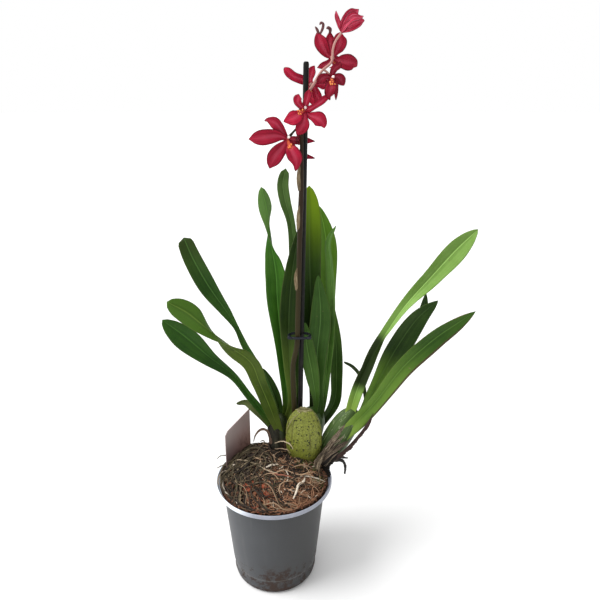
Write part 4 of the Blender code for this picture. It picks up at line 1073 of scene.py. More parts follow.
# Each leaf's midrib from foot to tip as (x, y, height above the mix, width); roll turns the blade about its
# midrib and fold is the angle of its V section, both from foot to tip; then its greens and its wear
LEAVES = {
    "left_upper": dict(
        tip=0.03, wave=0.8, phase=0.5, green=((0.014, 0.046, 0.005), (0.036, 0.100, 0.012)), foot=FOOT_IN_SHADE,
        ends=(0.75, 1.0, (0.022, 0.042, 0.006)),
        midrib=((6, 34, 38, 8), (0, 36, 67, 9), (-15, 41, 109, 11), (-31, 48, 137, 9), (-39, 52, 154, 7),
                (-50, 57, 171, 14), (-68, 64, 196, 21), (-84, 70, 225, 20), (-92, 73, 245, 16))),
    "left_arching": dict(
        roll=(0, 0, 0, 0, 10, 85, 150, 150), fold=(15, 20, 15, 10), wave=0.9, phase=2.0,
        green=((0.022, 0.044, 0.004), (0.074, 0.118, 0.011)), foot=FOOT_GREEN,
        ends=(0.62, 0.80, (0.034, 0.105, 0.004)),
        midrib=((6, 24, 44, 8), (0, 20, 66, 12), (-5, 14, 86, 15), (-13, 4, 116, 16), (-20, -4, 141, 18),
                (-39, -14, 163, 17), (-55, -24, 182, 15), (-71, -34, 203, 20), (-86, -42, 216, 12))),
    "left_lower": dict(
        wave=0.7, phase=1.1, green=((0.008, 0.040, 0.003), (0.028, 0.092, 0.006)), foot=FOOT_GREEN, wear=0.22,
        midrib=((3, 28, 39, 8), (-9, 27, 64, 9), (-26, 24, 91, 10), (-40, 18, 116, 11), (-62, 8, 142, 19),
                (-82, -4, 169, 26), (-99, -12, 188, 10))),
    "left_bract": dict(
        wave=0.3, green=((0.03, 0.05, 0.01), (0.08, 0.10, 0.03)), foot=FOOT_IN_SHADE, wear=0.3,
        midrib=((3, 32, 39, 7), (-9, 32, 56, 9), (-21, 33, 70, 11), (-30, 36, 75, 8), (-41, 38, 72, 3))),
    "centre_twisted": dict(
        roll=(0, 0, 0, 0, 0, 0, 0, 0, 15, 95, 150, 155), wave=0.8, phase=0.2,
        green=((0.018, 0.076, 0.005), (0.052, 0.155, 0.014)), foot=FOOT_GREEN,
        ends=(0.80, 0.86, (0.088, 0.175, 0.038)), wear=0.2,
        midrib=((9, 40, 38, 8), (13, 44, 67, 10), (8, 48, 130, 15), (4, 50, 185, 25), (3, 49, 214, 24),
                (-1, 45, 246, 12), (-3, 42, 264, 11), (-5, 38, 282, 15), (-9, 33, 302, 9))),
    "centre_front": dict(
        fold=(15, 25, 20, 15), wave=0.6, phase=2.4,
        green=((0.008, 0.024, 0.002), (0.024, 0.052, 0.005)), foot=FOOT_GREEN,
        ends=(0.60, 0.18, (0.095, 0.150, 0.020)),
        midrib=((8, 37, 44, 8), (18, 40, 69, 9), (16, 41, 120, 14), (16, 42, 177, 20), (20, 41, 222, 15),
                (27, 39, 264, 4))),
    "centre_back": dict(
        tip=0.03, roll=(0, 0, 0, 60, 30, 0, 0), wave=0.5, phase=1.7,
        green=((0.026, 0.060, 0.010), (0.070, 0.130, 0.030)), foot=FOOT_IN_SHADE,
        midrib=((34, 49, 31, 8), (23, 50, 72, 8), (22, 54, 150, 13), (22, 60, 223, 12), (18, 66, 262, 9),
                (12, 70, 284, 12), (10, 73, 299, 12), (13, 76, 314, 9))),
    "centre_tall": dict(
        fold=(15, 30, 25, 15), wave=0.5, phase=0.9, green=((0.007, 0.022, 0.002), (0.020, 0.048, 0.004)),
        foot=FOOT_IN_SHADE, ends=(0.68, 0.98, (0.115, 0.195, 0.003)),
        midrib=((38, 47, 32, 8), (42, 50, 70, 10), (40, 53, 139, 18), (37, 57, 215, 24), (36, 61, 270, 24),
                (36, 63, 299, 11))),
    "right_inner": dict(
        wave=0.6, phase=1.4, green=((0.056, 0.136, 0.010), (0.128, 0.270, 0.026)), foot=FOOT_IN_SHADE,
        midrib=((43, 54, 36, 8), (48, 58, 71, 9), (52, 64, 135, 19), (54, 72, 195, 24), (54, 78, 240, 22),
                (47, 80, 276, 5))),
    "right_curled": dict(
        roll=(0, 0, 0, 30, 50, 50), wave=0.6, phase=0.4, green=((0.038, 0.100, 0.013), (0.108, 0.225, 0.042)),
        foot=FOOT_IN_SHADE,
        midrib=((46, 50, 36, 8), (52, 52, 69, 9), (57, 54, 128, 13), (60, 56, 189, 14), (58, 57, 223, 11),
                (56, 58, 244, 8), (63, 58, 261, 3))),
    "right_shadow": dict(
        # the foot of this leaf is painted darker still as shade
        wave=0.5, phase=2.9, green=((0.024, 0.060, 0.008), (0.062, 0.125, 0.022)), foot=(0.012, 0.014, 0.006),
        midrib=((48, 54, 33, 8), (65, 60, 62, 14), (67, 64, 93, 16), (66, 70, 132, 13), (61, 76, 173, 4))),
    "right_short": dict(
        fold=(15, 25, 20, 10), wave=0.5, phase=1.9, foot=FOOT_IN_SHADE,
        green=((0.018, 0.052, 0.006), (0.044, 0.105, 0.016)),
        midrib=((44, 43, 34, 8), (49, 44, 61, 8), (46, 45, 87, 12), (45, 46, 125, 21), (48, 46, 169, 22),
                (45, 46, 213, 4))),
    "lower_centre": dict(
        fold=(15, 20, 15, 10), wave=0.4, phase=0.6, foot=FOOT_IN_SHADE,
        green=((0.026, 0.066, 0.008), (0.060, 0.130, 0.020)),
        midrib=((38, 41, 38, 6), (44, 39, 70, 6), (40, 38, 106, 15), (34, 39, 140, 15), (32, 39, 165, 4))),
    "right_upper": dict(
        roll=(0, 0, 0, 60, 40, 10, 0, 0), wave=0.6, phase=1.0,
        green=((0.130, 0.265, 0.035), (0.260, 0.430, 0.110)), foot=(0.30, 0.44, 0.070), wear=0.05,
        # painted shade: shaded darkens a stretch of this blade and half darkens one side of its midrib
        shaded=(0.16, 0.22, 0.40, 0.46), half=0.5,
        midrib=((76, 26, 50, 9), (80, 27, 70, 12), (88, 29, 100, 15), (101, 32, 131, 14), (116, 37, 156, 13),
                (134, 43, 182, 14), (161, 52, 211, 21), (184, 58, 236, 24), (205, 62, 256, 8))),
    "right_middle": dict(
        wave=0.6, phase=2.2, green=((0.010, 0.030, 0.004), (0.030, 0.066, 0.010)), foot=(0.16, 0.27, 0.040),
        ends=(0.62, 0.36, (0.125, 0.235, 0.030)),
        midrib=((78, 30, 45, 8), (93, 36, 61, 12), (109, 41, 96, 21), (127, 44, 134, 30),
                (147, 42, 169, 21), (165, 38, 189, 4))),
    "right_lower": dict(
        fold=(15, 30, 20, 15), wave=0.6, phase=0.8, green=((0.020, 0.060, 0.005), (0.052, 0.120, 0.012)),
        foot=(0.22, 0.34, 0.055), wear=0.36, ends=(0.74, 0.36, (0.105, 0.200, 0.026)),
        browned=(0.13, 0.075, 0.035), seared=True,
        midrib=((70, 21, 41, 12), (84, 21, 58, 18), (104, 20, 84, 19), (130, 14, 128, 21), (156, 6, 161, 21),
                (173, -1, 179, 15), (189, -6, 194, 3))),
    "right_hook": dict(
        fold=(20, 20), wave=0.0, green=((0.02, 0.035, 0.01), (0.05, 0.08, 0.03)), foot=FOOT_IN_SHADE,
        midrib=((80, 33, 52, 4), (97, 45, 59, 4), (97, 50, 80, 4), (93, 55, 95, 4), (84, 58, 106, 4),
                (74, 60, 111, 3))),
    "left_inner": dict(
        cad=False, wave=0.4, phase=1.2, green=((0.012, 0.036, 0.004), (0.034, 0.075, 0.010)), foot=FOOT_IN_SHADE,
        midrib=((7, 38, 44, 7), (5, 46, 60, 10), (1, 48, 78, 12), (-6, 49, 95, 9), (-13, 50, 108, 3))),
    "right_behind": dict(
        cad=False, wave=0.4, phase=2.7, green=((0.012, 0.030, 0.006), (0.030, 0.060, 0.014)), foot=FOOT_IN_SHADE,
        midrib=((84, 32, 55, 6), (104, 52, 72, 8), (128, 58, 112, 11), (150, 59, 150, 11), (156, 59, 176, 8),
                (157, 58, 190, 3))),
}
for leaf_name, leaf in LEAVES.items():
    shape = {key: leaf[key] for key in ("roll", "fold", "tip", "wave", "phase") if key in leaf}
    look = {key: value for key, value in leaf.items() if key not in ("midrib", "cad", *shape)}
    points = blade_surface(from_mix(leaf["midrib"]), LEAF_THICKNESS, **shape)
    stands_for = ["leaf_" + leaf_name] if leaf.get("cad", True) else []
    piece("blade_" + leaf_name, points, leaf_finish("leaf_" + leaf_name + "_skin", **look), "leaf_green",
          *stands_for, uv=blade_uv(points))

# ---------------------------------------------------------------- dry sheaths
# Papery remains of the scale leaves that once wrapped each bulb: brown, split along their veins and curled
# away, still held at the bulb's foot.


def sheath_finish(name, dark, light):
    """Dry sheath: brown tissue with beige fibres lengthwise and darker blotches."""
    husk = Finish(name, 0.7, 0.3)
    fibres = husk.grain((26.0, 3.0, 1.0), 5.0, 0.7)
    husk.start(husk.band(fibres, 0.44, 0.70), dark, light)
    blotch = husk.band(husk.noise(husk.place(), 90.0, 4.0), 0.52, 0.7)
    husk.lay(blotch, tint(dark, 0.4), 0.6)
    husk.dent(fibres, 0.8)
    return husk.paint()


SHEATHS = {
    # midrib as (x, y, height above the floor, width), roll, fold, darkest colour, lightest colour
    "sheath_upper": (((43, 13, 122, 4), (51, 11, 133, 6), (60, 12, 147, 6), (68, 13, 158, 4),
                      (74, 15, 166, 2)), (10, 30, 60), 35, (0.045, 0.026, 0.016), (0.60, 0.49, 0.34)),
    "sheath_lower": (((42, 9, 119, 5), (50, 8, 129, 7), (59, 9, 137, 7), (68, 12, 141, 6), (78, 15, 146, 2)),
                     (0, 20, 30), 35, (0.020, 0.013, 0.009), (0.40, 0.30, 0.20)),
    "sheath_flap": (((53, 10, 139, 4), (47, 5, 131, 8), (44, 1, 121, 9), (43, -2, 112, 7), (43, -3, 107, 4)),
                    (0, -20, -10), 35, (0.026, 0.016, 0.010), (0.50, 0.39, 0.25)),
    "sheath_dark": (((46, 13, 112, 9), (52, 12, 118, 12), (60, 14, 125, 9), (67, 17, 131, 3)),
                    (0, 0), 30, (0.008, 0.006, 0.005), (0.05, 0.034, 0.024)),
    "sheath_under_leaf": (((62, 16, 124, 7), (74, 17, 134, 9), (86, 17, 149, 9), (96, 17, 164, 7),
                           (103, 18, 178, 2)), (-30, -40), 35, (0.028, 0.014, 0.011), (0.15, 0.075, 0.055)),
    "sheath_rim_dark": (((45, 13, 118, 7), (51, 9, 117, 9), (56, 5, 114, 7), (59, 2, 111, 3)),
                        (0, 0), 30, (0.005, 0.004, 0.003), (0.030, 0.022, 0.015)),
    "sheath_left": (((6, 20, 113, 14), (4, 18.6, 126, 19), (3, 19.4, 140, 19), (1, 21, 153, 14),
                     (-2, 24, 164, 5)), (0, 0), -42, (0.009, 0.009, 0.005), (0.055, 0.050, 0.026)),
    "sheath_left_side": (((14, 22, 116, 9), (14, 19, 130, 11), (14, 19, 142, 9), (15, 21, 157, 3)),
                         (0, 10), -36, (0.024, 0.012, 0.007), (0.16, 0.085, 0.05)),
    "sheath_left_edge": (((3, 24, 113, 6), (0, 23, 126, 8), (-2, 23, 140, 8), (-4, 25, 152, 6),
                          (-7, 27, 160, 2)), (0, -10), -38, (0.005, 0.004, 0.003), (0.028, 0.022, 0.014)),
    "sheath_arched": (((-21, 8, 150, 1), (-18, 6, 160, 2), (-12, 5, 166.5, 3), (-7, 5, 165, 3),
                       (-4, 6, 156, 3), (-3, 9, 146, 4)),
                      (0, 40, 0), 30, (0.08, 0.045, 0.03), (0.30, 0.21, 0.14)),
}
SHEATH_THICKNESS = 0.5
SHRED_COLOURS = (((0.14, 0.10, 0.065), (0.62, 0.53, 0.40)), ((0.02, 0.013, 0.010), (0.12, 0.08, 0.055)))
shred = np.random.default_rng(17)
for index in range(16):
    lane = np.array(((44, 12, 117), (51, 10, 127), (60, 11, 137), (70, 14, 146)), float)
    lane[:, 2] += shred.uniform(-10, 12) * np.array((0.3, 0.7, 1.0, 1.3))
    lane += shred.normal(0, 1.6, (4, 3)) * (1, 0.8, 1)
    lane = lane[:shred.integers(3, 5)]
    rows = np.column_stack([lane, np.linspace(shred.uniform(1.5, 4.0), 0.8, len(lane))])
    dark, light = SHRED_COLOURS[index % 2]
    SHEATHS[f"shred_{index + 1}"] = (rows, tuple(shred.uniform(-60, 60, 3)), 25, dark, light)
for sheath_name, (rows, roll, crease, dark, light) in SHEATHS.items():
    points = blade_surface(rows, SHEATH_THICKNESS, roll=roll, fold=(crease, crease, crease / 2), tip=0.12,
                           wave=1.0, phase=len(sheath_name), keel=0.1, ragged=0.22, along=60, across=17)
    finish = sheath_finish(sheath_name, dark, light)
    piece(sheath_name, points, finish, "young_bulb_skin", uv=blade_uv(points))


def cap_surface(bulb_name, reach, ragged, clear, seed):
    """A ragged scale on the bulb's crown: the crown (1 - r^p)^(1/p) raised by clear, curling up at its rim.

    The upper skin runs from the middle to the rim and the lower one back again.
    """
    (_, _, foot_z), (crown_x, crown_y, crown_z), width, depth, square = BULBS[bulb_name]
    middle, half = MIX_TOP + (crown_z + foot_z) / 2, (crown_z - foot_z) / 2
    turn = full_turn(96)[None, :]
    round_x, round_y = np.cos(turn) * 9, np.sin(turn) * 9
    outline = reach * (1 + ragged * ripple(round_x, round_y, seed, 20, 12.0, 2.0))
    skins = []
    for gap, shares in ((clear + 0.35, np.linspace(0, 1, 12)), (clear, np.linspace(1, 0, 12))):
        far = outline * shares[:, None]
        swell = np.clip(1 - far ** square, 0, 1) ** (1 / square)
        curl = 0.5 * shares[:, None] ** 4 * (1 + ripple(round_x, round_y, seed + 1, 9, 9.0, 4.0))
        x = crown_x + far * np.cos(turn) * width / 2
        y = crown_y + far * np.sin(turn) * depth / 2
        skins.append(np.stack([x, y, middle + swell * half + gap + curl], axis=2))
    return np.concatenate(skins)


straw = sheath_finish("bulb_cap_paper", (0.16, 0.14, 0.045), (0.62, 0.58, 0.34))
for cap_name, shape in (("bulb_cap", (0.43, 0.24, -0.15, 2)), ("bulb_cap_inner", (0.24, 0.34, 0.2, 7))):
    points = cap_surface("bulb_old_front", *shape)
    piece(cap_name, points, straw, "bulb_skin", uv=wrap_uv(points, 6))
edge_line = smooth_line(((12.6, 15, 154, 0.2), (13.7, 12.6, 162, 0.4), (16.6, 11, 170, 0.45),
                         (20.5, 10.2, 176.5, 0.45), (25, 10.4, 180.6, 0.3)), 26)
points = rods(edge_line[None, :, :3], edge_line[None, :, 3], 8)
piece("bulb_cap_edge", points, straw, "bulb_skin", uv=wrap_uv(points))

# ---------------------------------------------------------------- flower spike
# One woody maroon stem that climbs beside the stake, jointed where dry bracts clasp it, and branching into
# a short stalk for each flower.

SPIKE_LINE = ((20, 32, 25), (20, 32, 45), (21, 28.5, 69), (20, 26, 101), (20, 25.5, 124), (24, 25.5, 146),
              (24.8, 25.4, 173), (25.6, 25.4, 204), (26.5, 25.4, 244), (27.4, 25.4, 277),
              (28.4, 25.4, 309), (28.5, 25.4, 335), (28.8, 25.4, 361), (31.5, 25.4, 379), (38, 27, 389),
              (46, 29, 401), (54, 31, 408), (55, 31, 418), (57, 31, 424), (62, 30, 431))
SPIKE_FOOT_RADIUS = 2.7
SPIKE_TIP_RADIUS = 0.9
SPIKE_JOINTS = (206, 264, 301, 352)
SPIKE_STATIONS = 220
BRACT_THICKNESS = 0.35
JOINT_SWELL = 0.28
JOINT_REACH = 1.6
spike_line = smooth_line(from_mix(SPIKE_LINE), SPIKE_STATIONS)
spike_radius = np.interp(
    np.linspace(0, 1, SPIKE_STATIONS), (0.0, 0.62, 0.82, 1.0),
    (SPIKE_FOOT_RADIUS, SPIKE_FOOT_RADIUS * 0.92, SPIKE_FOOT_RADIUS * 0.5, SPIKE_TIP_RADIUS))
for joint in SPIKE_JOINTS:
    apart = (spike_line[:, 2] - MIX_TOP - joint) / JOINT_REACH
    spike_radius = spike_radius + JOINT_SWELL * np.exp(-apart ** 2)


def spike_finish():
    """Maroon-brown skin, greener low down, with a dull bloom and fine lengthwise grain."""
    stem = Finish("spike_skin", 0.5, 0.15)
    height = stem.axis("Z")
    grain = stem.grain((900.0, 900.0, 40.0), 3.0, kind="Object")
    stem.start(grain, (0.013, 0.008, 0.004), (0.034, 0.018, 0.008))
    stem.lay(stem.band(height, 0.40, 0.28, 0.0, 0.6), (0.030, 0.026, 0.006))
    stem.lay(stem.band(height, 0.475, 0.50), (0.44, 0.23, 0.20))
    stem.dent(grain, 0.15)
    return stem.paint()


piece("spike_stem", rods(spike_line[None], spike_radius[None], 24, (0, -1, 0)), spike_finish(), "spike_skin",
      "flower_spike")

straw_bract = sheath_finish("bract_paper", (0.13, 0.085, 0.04), (0.42, 0.34, 0.21))
for index, joint in enumerate(SPIKE_JOINTS):
    near = np.argmin(abs(spike_line[:, 2] - MIX_TOP - joint))
    x, y, z = spike_line[near]
    lean = -0.4 if index % 2 else -1.2
    rows = [(x - 0.6, y - 2.2, z - 1, 5.6), (x + lean, y - 2.9, z + 7, 6.4),
            (x + lean * 1.3, y - 3.0, z + 15, 5.0), (x + lean, y - 2.7, z + 22, 1.4)]
    points = blade_surface(rows, BRACT_THICKNESS, roll=(-25, -35), fold=(-46, -42, -24), tip=0.2, keel=0.1,
                           wave=0.2, phase=index, ragged=0.06, along=30, across=13)
    piece(f"spike_bract_{index + 1}", points, straw_bract, "spike_skin", uv=blade_uv(points))

# ---------------------------------------------------------------- flowers
# Each flower is six separate thin parts round a hooked column: three sepals, two petals and a broader lip
# with an orange crest.  The tissue is velvety crimson, darker at the rims; ageing tips go black.

FLOWERS = {
    # heart, the way the column points, where the stalk leaves the spike, shade (painted light and shade);
    # tepals from claw to tip
    "flower_1": dict(
        heart=(16, 18, 345), faces=(0.05, -1.0, 0.05), stalk=(28.6, 25.4, 358), shade=0.85,
        tepals={
            "petal_left": ((12, 15, 347, 3), (6, 13, 348, 11), (-4, 12, 347, 14), (-12, 14, 346, 11),
                           (-18, 18, 345, 3)),
            "sepal_lower_left": ((14, 15, 342, 3), (11, 13, 338, 11), (6, 12, 332, 14), (2, 14, 325, 11),
                                 (0, 17, 320, 4)),
            "lip": ((18, 12, 340, 4), (20, 9, 336, 12), (23, 9, 330, 13), (24, 12, 324, 8), (23, 15, 318, 5)),
            "sepal_upper": ((13, 17, 350, 3), (9, 15, 355, 9), (5, 15, 359, 10), (-1, 18, 361, 5),
                            (-4, 21, 360, 2.5)),
            "petal_right": ((20, 19, 345, 3), (23, 26, 344, 8), (25, 34, 344, 10), (31, 38, 343, 8),
                            (41, 38, 342, 3)),
            "sepal_lower_right": ((19, 18, 341, 3), (22, 25, 335, 7), (25, 34, 331, 9), (32, 38, 329, 6),
                                  (41, 38, 327, 4)),
        }),
    "flower_2": dict(
        heart=(31, 19, 369), faces=(-0.2, -1.0, 0.1), stalk=(28.9, 25.4, 364), shade=1.05,
        tepals={
            "petal_left": ((27, 14, 373, 3), (25, 12, 376, 7), (25, 13, 379, 8), (26, 15, 382, 4)),
            "lip": ((27, 11, 367, 4), (24, 7, 364, 12), (19, 7, 362, 12), (13, 9, 360, 5)),
            "sepal_lower": ((31, 14, 363, 3), (30, 11, 358, 11), (27, 10, 353, 11), (24, 12, 349, 5)),
            "petal_right": ((35, 16, 365, 3), (38, 14, 364, 8), (43, 13, 362, 13), (47, 14, 358, 9),
                            (48, 17, 354, 3)),
            "sepal_right": ((35, 16, 370, 3), (39, 16, 372, 5), (45, 17, 376, 6), (49, 19, 379, 6),
                            (54, 20, 381, 5)),
            "sepal_upper": ((32, 17, 374, 3), (33, 18, 378, 6), (34, 19, 382, 7), (35, 20, 386, 3)),
        }),
    "flower_3": dict(
        heart=(37, 40, 390), faces=(0.0, 1.0, 0.0), stalk=(38, 27, 389), shade=1.15,
        tepals={
            "petal_left": ((33, 42, 392, 3), (29, 40, 394, 8), (21, 38, 397, 8), (15, 38, 402, 9),
                           (13, 39, 404, 6)),
            "sepal_upper": ((36, 43, 395, 3), (37, 44, 399, 7), (38, 45, 403, 7), (40, 46, 406, 3)),
            "petal_right": ((41, 43, 391, 3), (45, 44, 391, 8), (49, 45, 390, 9), (53, 47, 388, 4)),
            "sepal_left": ((34, 42, 387, 3), (33, 41, 382, 7), (33, 41, 378, 7), (34, 43, 373, 3)),
            "sepal_right": ((40, 43, 387, 3), (42, 43, 382, 8), (44, 44, 378, 7), (46, 46, 373, 3)),
            "lip": ((37, 48, 387, 4), (38, 52, 382, 12), (39, 54, 377, 11), (39, 53, 372, 4)),
        }),
    "flower_4": dict(
        heart=(54, 26, 395), faces=(0.0, -1.0, -0.3), stalk=(47, 29.3, 402), shade=0.6,
        tepals={
            "petal_left": ((50, 25, 396, 3), (47, 24, 395, 8), (44, 25, 393, 7), (42, 27, 390, 3)),
            "sepal_left": ((52, 24, 391, 3), (51, 23, 387, 6), (51, 23, 382, 6), (53, 25, 377, 3)),
            "lip": ((54, 19, 391, 4), (53, 16, 387, 10), (52, 15, 383, 9), (50, 17, 379, 4)),
            "sepal_right": ((57, 24, 391, 3), (58, 24, 387, 4), (58, 24, 382, 3.5), (58, 25, 377, 2)),
            "petal_right": ((58, 25, 396, 3), (61, 25, 395, 8), (63, 26, 392, 8), (65, 28, 389, 4)),
            "sepal_upper": ((55, 24, 400, 3), (57, 23, 403, 6), (60, 23, 405, 6), (61, 24, 408, 3)),
        }),
    "flower_5": dict(
        heart=(55, 38, 412), faces=(0.2, 1.0, 0.0), stalk=(54.2, 31, 410), shade=0.9,
        tepals={
            "petal_left": ((51, 39, 414, 3), (48, 37, 418, 10), (45, 36, 423, 12), (43, 37, 428, 9),
                           (42, 39, 433, 3)),
            "petal_right": ((58, 39, 416, 3), (60, 37, 420, 11), (61, 36, 424, 13), (61, 36, 428, 11),
                            (62, 38, 432, 5)),
            "sepal_right": ((59, 39, 410, 3), (63, 37, 409, 11), (68, 36, 408, 14), (74, 38, 407, 11),
                            (77, 41, 405, 5)),
            "sepal_upper": ((54, 42, 417, 3), (53, 44, 422, 8), (53, 46, 427, 9), (53, 47, 434, 3)),
            "sepal_left": ((52, 40, 408, 3), (48, 41, 406, 6), (45, 42, 405, 5), (42, 43, 404, 2)),
            "lip": ((57, 45, 409, 4), (58, 50, 409, 12), (59, 55, 407, 13), (60, 58, 405, 5)),
        }),
}


def tepal_finish(name, shade, throat=None, pale=0.0):
    """Velvety crimson with a painted pink highlight along the middle, dark at the rim and tip; a lip has an
    orange throat.
    """
    velvet = Finish(name, 0.5, 0.10, {"Sheen Weight": 0.06, "Sheen Roughness": 0.4,
                                      "Sheen Tint": (1.0, 0.55, 0.62, 1.0), "Subsurface Weight": 0.08,
                                      "Subsurface Radius": (0.003, 0.0006, 0.0006)})
    _, edge = across_blade(velvet, velvet.axis("X", "UV"))
    along = velvet.axis("Y", "UV")
    veins = velvet.grain((20.0, 1.6, 1.0), 3.0)
    # shade is painted light and shade: every colour of the flower made lighter or darker as a whole.
    velvet.start(velvet.band(veins, 0.35, 0.65), tint((0.210, 0.003, 0.016), shade),
                 tint((0.400, 0.010, 0.038), shade))
    # Painted highlight: a pink sheen painted along the middle of each tepal, fading towards its rim and tip.
    heart = velvet.times(velvet.band(edge, 0.5, 0.0), velvet.band(along, 0.95, 0.5))
    velvet.lay(heart, tint((0.56, 0.075, 0.130), shade), 0.5)
    if pale:
        flush = velvet.grain((9.0, 2.5, 1.0), 2.0)
        velvet.lay(velvet.band(flush, 0.40, 0.70, 0.0, pale), (0.70, 0.20, 0.30))
    velvet.lay(velvet.band(edge, 0.80, 1.0, 0.0, 0.75), (0.045, 0.003, 0.007))
    frayed = velvet.plus(along, velvet.times(velvet.noise(velvet.place(), 160.0), 0.12))
    velvet.lay(velvet.band(frayed, 0.99, 1.06), (0.020, 0.004, 0.006), 0.85)
    if throat is not None:
        rays = velvet.band(velvet.grain((26.0, 3.0, 1.0), 2.0), 0.42, 0.58)
        open_throat = velvet.times(velvet.band(along, 0.42, 0.18), velvet.band(edge, 0.80, 0.30))
        velvet.lay(velvet.times(open_throat, rays), throat)
    velvet.dent(veins, 0.25)
    return velvet.paint()


def crest_finish():
    """Waxy orange warts, yellower at their tips."""
    wax = Finish("orange_crest", 0.4, 0.5, {"Subsurface Weight": 0.1,
                                            "Subsurface Radius": (0.002, 0.001, 0.0003)})
    where = wax.place()
    wax.start(wax.noise(where, 500.0), (0.72, 0.10, 0.03), (0.90, 0.42, 0.08))
    wax.dent(wax.noise(where, 900.0), 0.2)
    return wax.paint()


def column_finish():
    """The column: white at its cap, flushed pink towards its foot."""
    wax = Finish("white_column", 0.35, 0.5, {"Subsurface Weight": 0.15,
                                             "Subsurface Radius": (0.002, 0.001, 0.001)})
    along = wax.axis("Y", "UV")
    wax.start(wax.band(along, 0.35, 0.8), (0.55, 0.10, 0.14), (0.88, 0.80, 0.76))
    wax.dent(wax.noise(wax.place(), 600.0), 0.1)
    return wax.paint()


TEPAL_THICKNESS = 0.55
HEART_WIDTH = 3.0
CLAW_WIDTH = 5.5
THROAT_ORANGE = (0.85, 0.22, 0.04)
WARTS = 12
WART_SPREAD = 1.3
WART_SIZE = 0.95
crest, column_wax = crest_finish(), column_finish()
for flower_name, flower in FLOWERS.items():
    heart, stalk = from_mix([flower["heart"], flower["stalk"]])
    faces = np.array(flower["faces"], float)
    faces /= np.linalg.norm(faces)
    for order, (tepal_name, stations) in enumerate(flower["tepals"].items()):
        is_lip = tepal_name == "lip"
        name = f"{flower_name}_{tepal_name}"
        rows = from_mix(stations)
        rows[0, 3] = max(rows[0, 3], CLAW_WIDTH)
        rows = np.vstack([(*heart, HEART_WIDTH), rows])
        wave, curl, tone = (1.3, 0.10, 1.15) if is_lip else (0.55, 0.03, 1.0 - 0.05 * (order % 3))
        points = blade_surface(rows, TEPAL_THICKNESS, fold=(12, 18, 10), tip=0.42, wave=wave,
                               phase=1.3 * order, keel=0.25, curl=curl, along=44, across=15)
        finish = tepal_finish(name + "_tissue", flower["shade"] * tone, THROAT_ORANGE if is_lip else None)
        piece("bloom_" + name, points, finish, "petal_crimson", name, uv=blade_uv(points))
    stem_line = smooth_line([stalk, (stalk + heart) / 2 - faces * 1.5 + (0, 0, 0.6), heart - faces * 2.6,
                             heart], 18)
    ovary = np.interp(np.linspace(0, 1, 18), (0, 0.5, 0.85, 1), (0.95, 1.0, 1.7, 1.9))
    piece(flower_name + "_stalk", rods(stem_line[None], ovary[None], 14, (1, 0, 0.2)), spike_finish(),
          "spike_skin")
    reach = faces + np.array([0.5, 0.0, 0.8]) * (0.7 if faces[1] < 0 else 0.3)
    hook = smooth_line([heart - faces, heart + reach * 1.6, heart + reach * 3.4,
                        heart + reach * 4.6 + (0, 0, -0.6)], 20)
    fat = np.interp(np.linspace(0, 1, 20), (0, 0.4, 0.75, 0.92, 1), (1.2, 0.9, 1.15, 1.1, 0.4))
    points = rods(hook[None], fat[None], 16, (1, 0, 0.1))
    piece(flower_name + "_column", points, column_wax, "petal_crimson", uv=wrap_uv(points))
    lip_rows = from_mix(flower["tepals"]["lip"])[:, :3]
    pick = np.random.default_rng(len(flower_name) + int(heart[0]))
    spots = lip_rows[0] + (lip_rows[1] - lip_rows[0]) * pick.uniform(-0.5, 0.5, (WARTS, 1))
    spots = spots + pick.normal(0, WART_SPREAD, (WARTS, 3)) * (1.0, 0.35, 0.7) + faces
    bow = np.linspace(0, np.pi, 7)
    blob = revolve(np.stack([np.sin(bow), -np.cos(bow)], axis=1), 8)
    blobs = blob[None] * pick.uniform(0.45, 1.0, (WARTS, 1, 1, 3)) * WART_SIZE + spots[:, None, None]
    piece(flower_name + "_crest", blobs, crest, "petal_crimson")

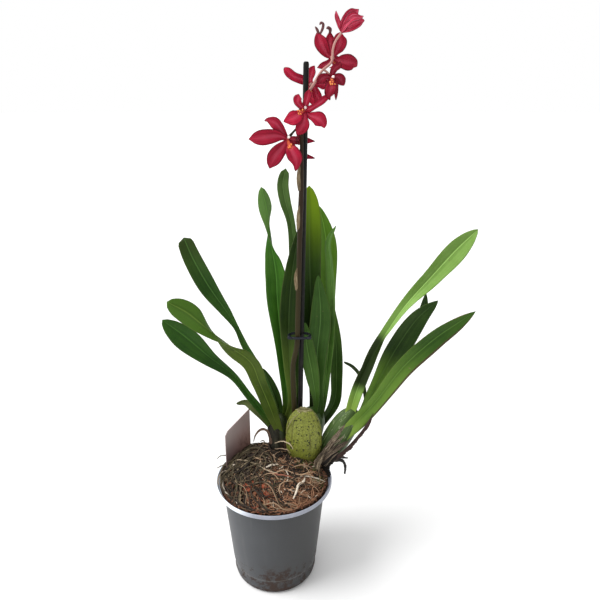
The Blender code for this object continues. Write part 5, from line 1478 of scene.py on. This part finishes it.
# The oldest flower's tepals have dried and curled at their tips: (x, y, height above the mix, radius)
DRY_TIPS = {
    "flower_5_dry_tip_left": ((43, 38, 431, 1.0), (41.5, 38, 434.0, 1.2), (40, 37, 436.0, 0.5)),
    "flower_5_dry_tip_middle": ((44, 38, 430, 0.8), (46.4, 38, 435, 1.2), (46.6, 37, 438.2, 1.1),
                                (44.6, 37, 439.0, 1.0), (43.8, 37, 437.4, 0.5)),
    "flower_5_dry_tip_right": ((53, 46, 432, 1.2), (53, 45, 435, 1.5), (51, 44, 436, 1.2),
                               (50, 44, 435, 0.5)),
}
withered = root_finish("withered_tepal", (0.06, 0.015, 0.018), (0.30, 0.13, 0.13))
for tip_name, stations in DRY_TIPS.items():
    line = from_mix(smooth_line(stations, 24))
    points = rods(line[None, :, :3], line[None, :, 3], 8)
    piece(tip_name, points, withered, "petal_crimson", uv=wrap_uv(points))

# ---------------------------------------------------------------- bud
# The last flower of the spike, half open: its sepals and petals still overlap round one another, with dried
# tips, on the spike's thin pink end.

BUD_PARTS = {
    # from the spike's end to each tip as (x, y, height above the mix, width); then the roll of each
    "sepal_low": (((62, 30, 431, 2), (66, 28, 434, 9), (71, 27, 436, 11), (77, 28, 439, 8), (81, 30, 440, 3)),
                  (0, 0)),
    "sepal_high": (((62, 30, 431, 2), (64, 29, 437, 9), (68, 28, 443, 11), (73, 29, 446, 8),
                    (76, 30, 448.5, 2)), (0, 0)),
    "sepal_back": (((62, 30, 431, 2), (61, 31, 435, 5), (59, 32, 440, 5), (57.5, 31, 444, 4),
                    (57, 31, 447.5, 2)), (0, 20)),
    "petal_front": (((62, 29, 431, 2), (66, 26, 437, 8), (71, 25, 441, 10), (76, 26, 441.5, 7),
                     (80, 28, 443, 2)), (20, 30)),
    "petal_back": (((62, 31, 431, 2), (66, 34, 438, 9), (69, 35, 442, 10), (72, 34, 445, 7),
                    (74, 33, 448, 2)), (0, -20)),
}
for order, (bud_name, (stations, roll)) in enumerate(BUD_PARTS.items()):
    points = blade_surface(from_mix(stations), TEPAL_THICKNESS, roll=roll, fold=(30, 40, 25), tip=0.35,
                           wave=0.5, phase=order, keel=0.2, curl=0.12, along=40, across=15)
    name = "bud_" + bud_name
    piece(name, points, tepal_finish(name, 1.4 - 0.1 * order, pale=0.5), "petal_crimson",
          *(["flower_bud"] if order == 0 else []), uv=blade_uv(points))
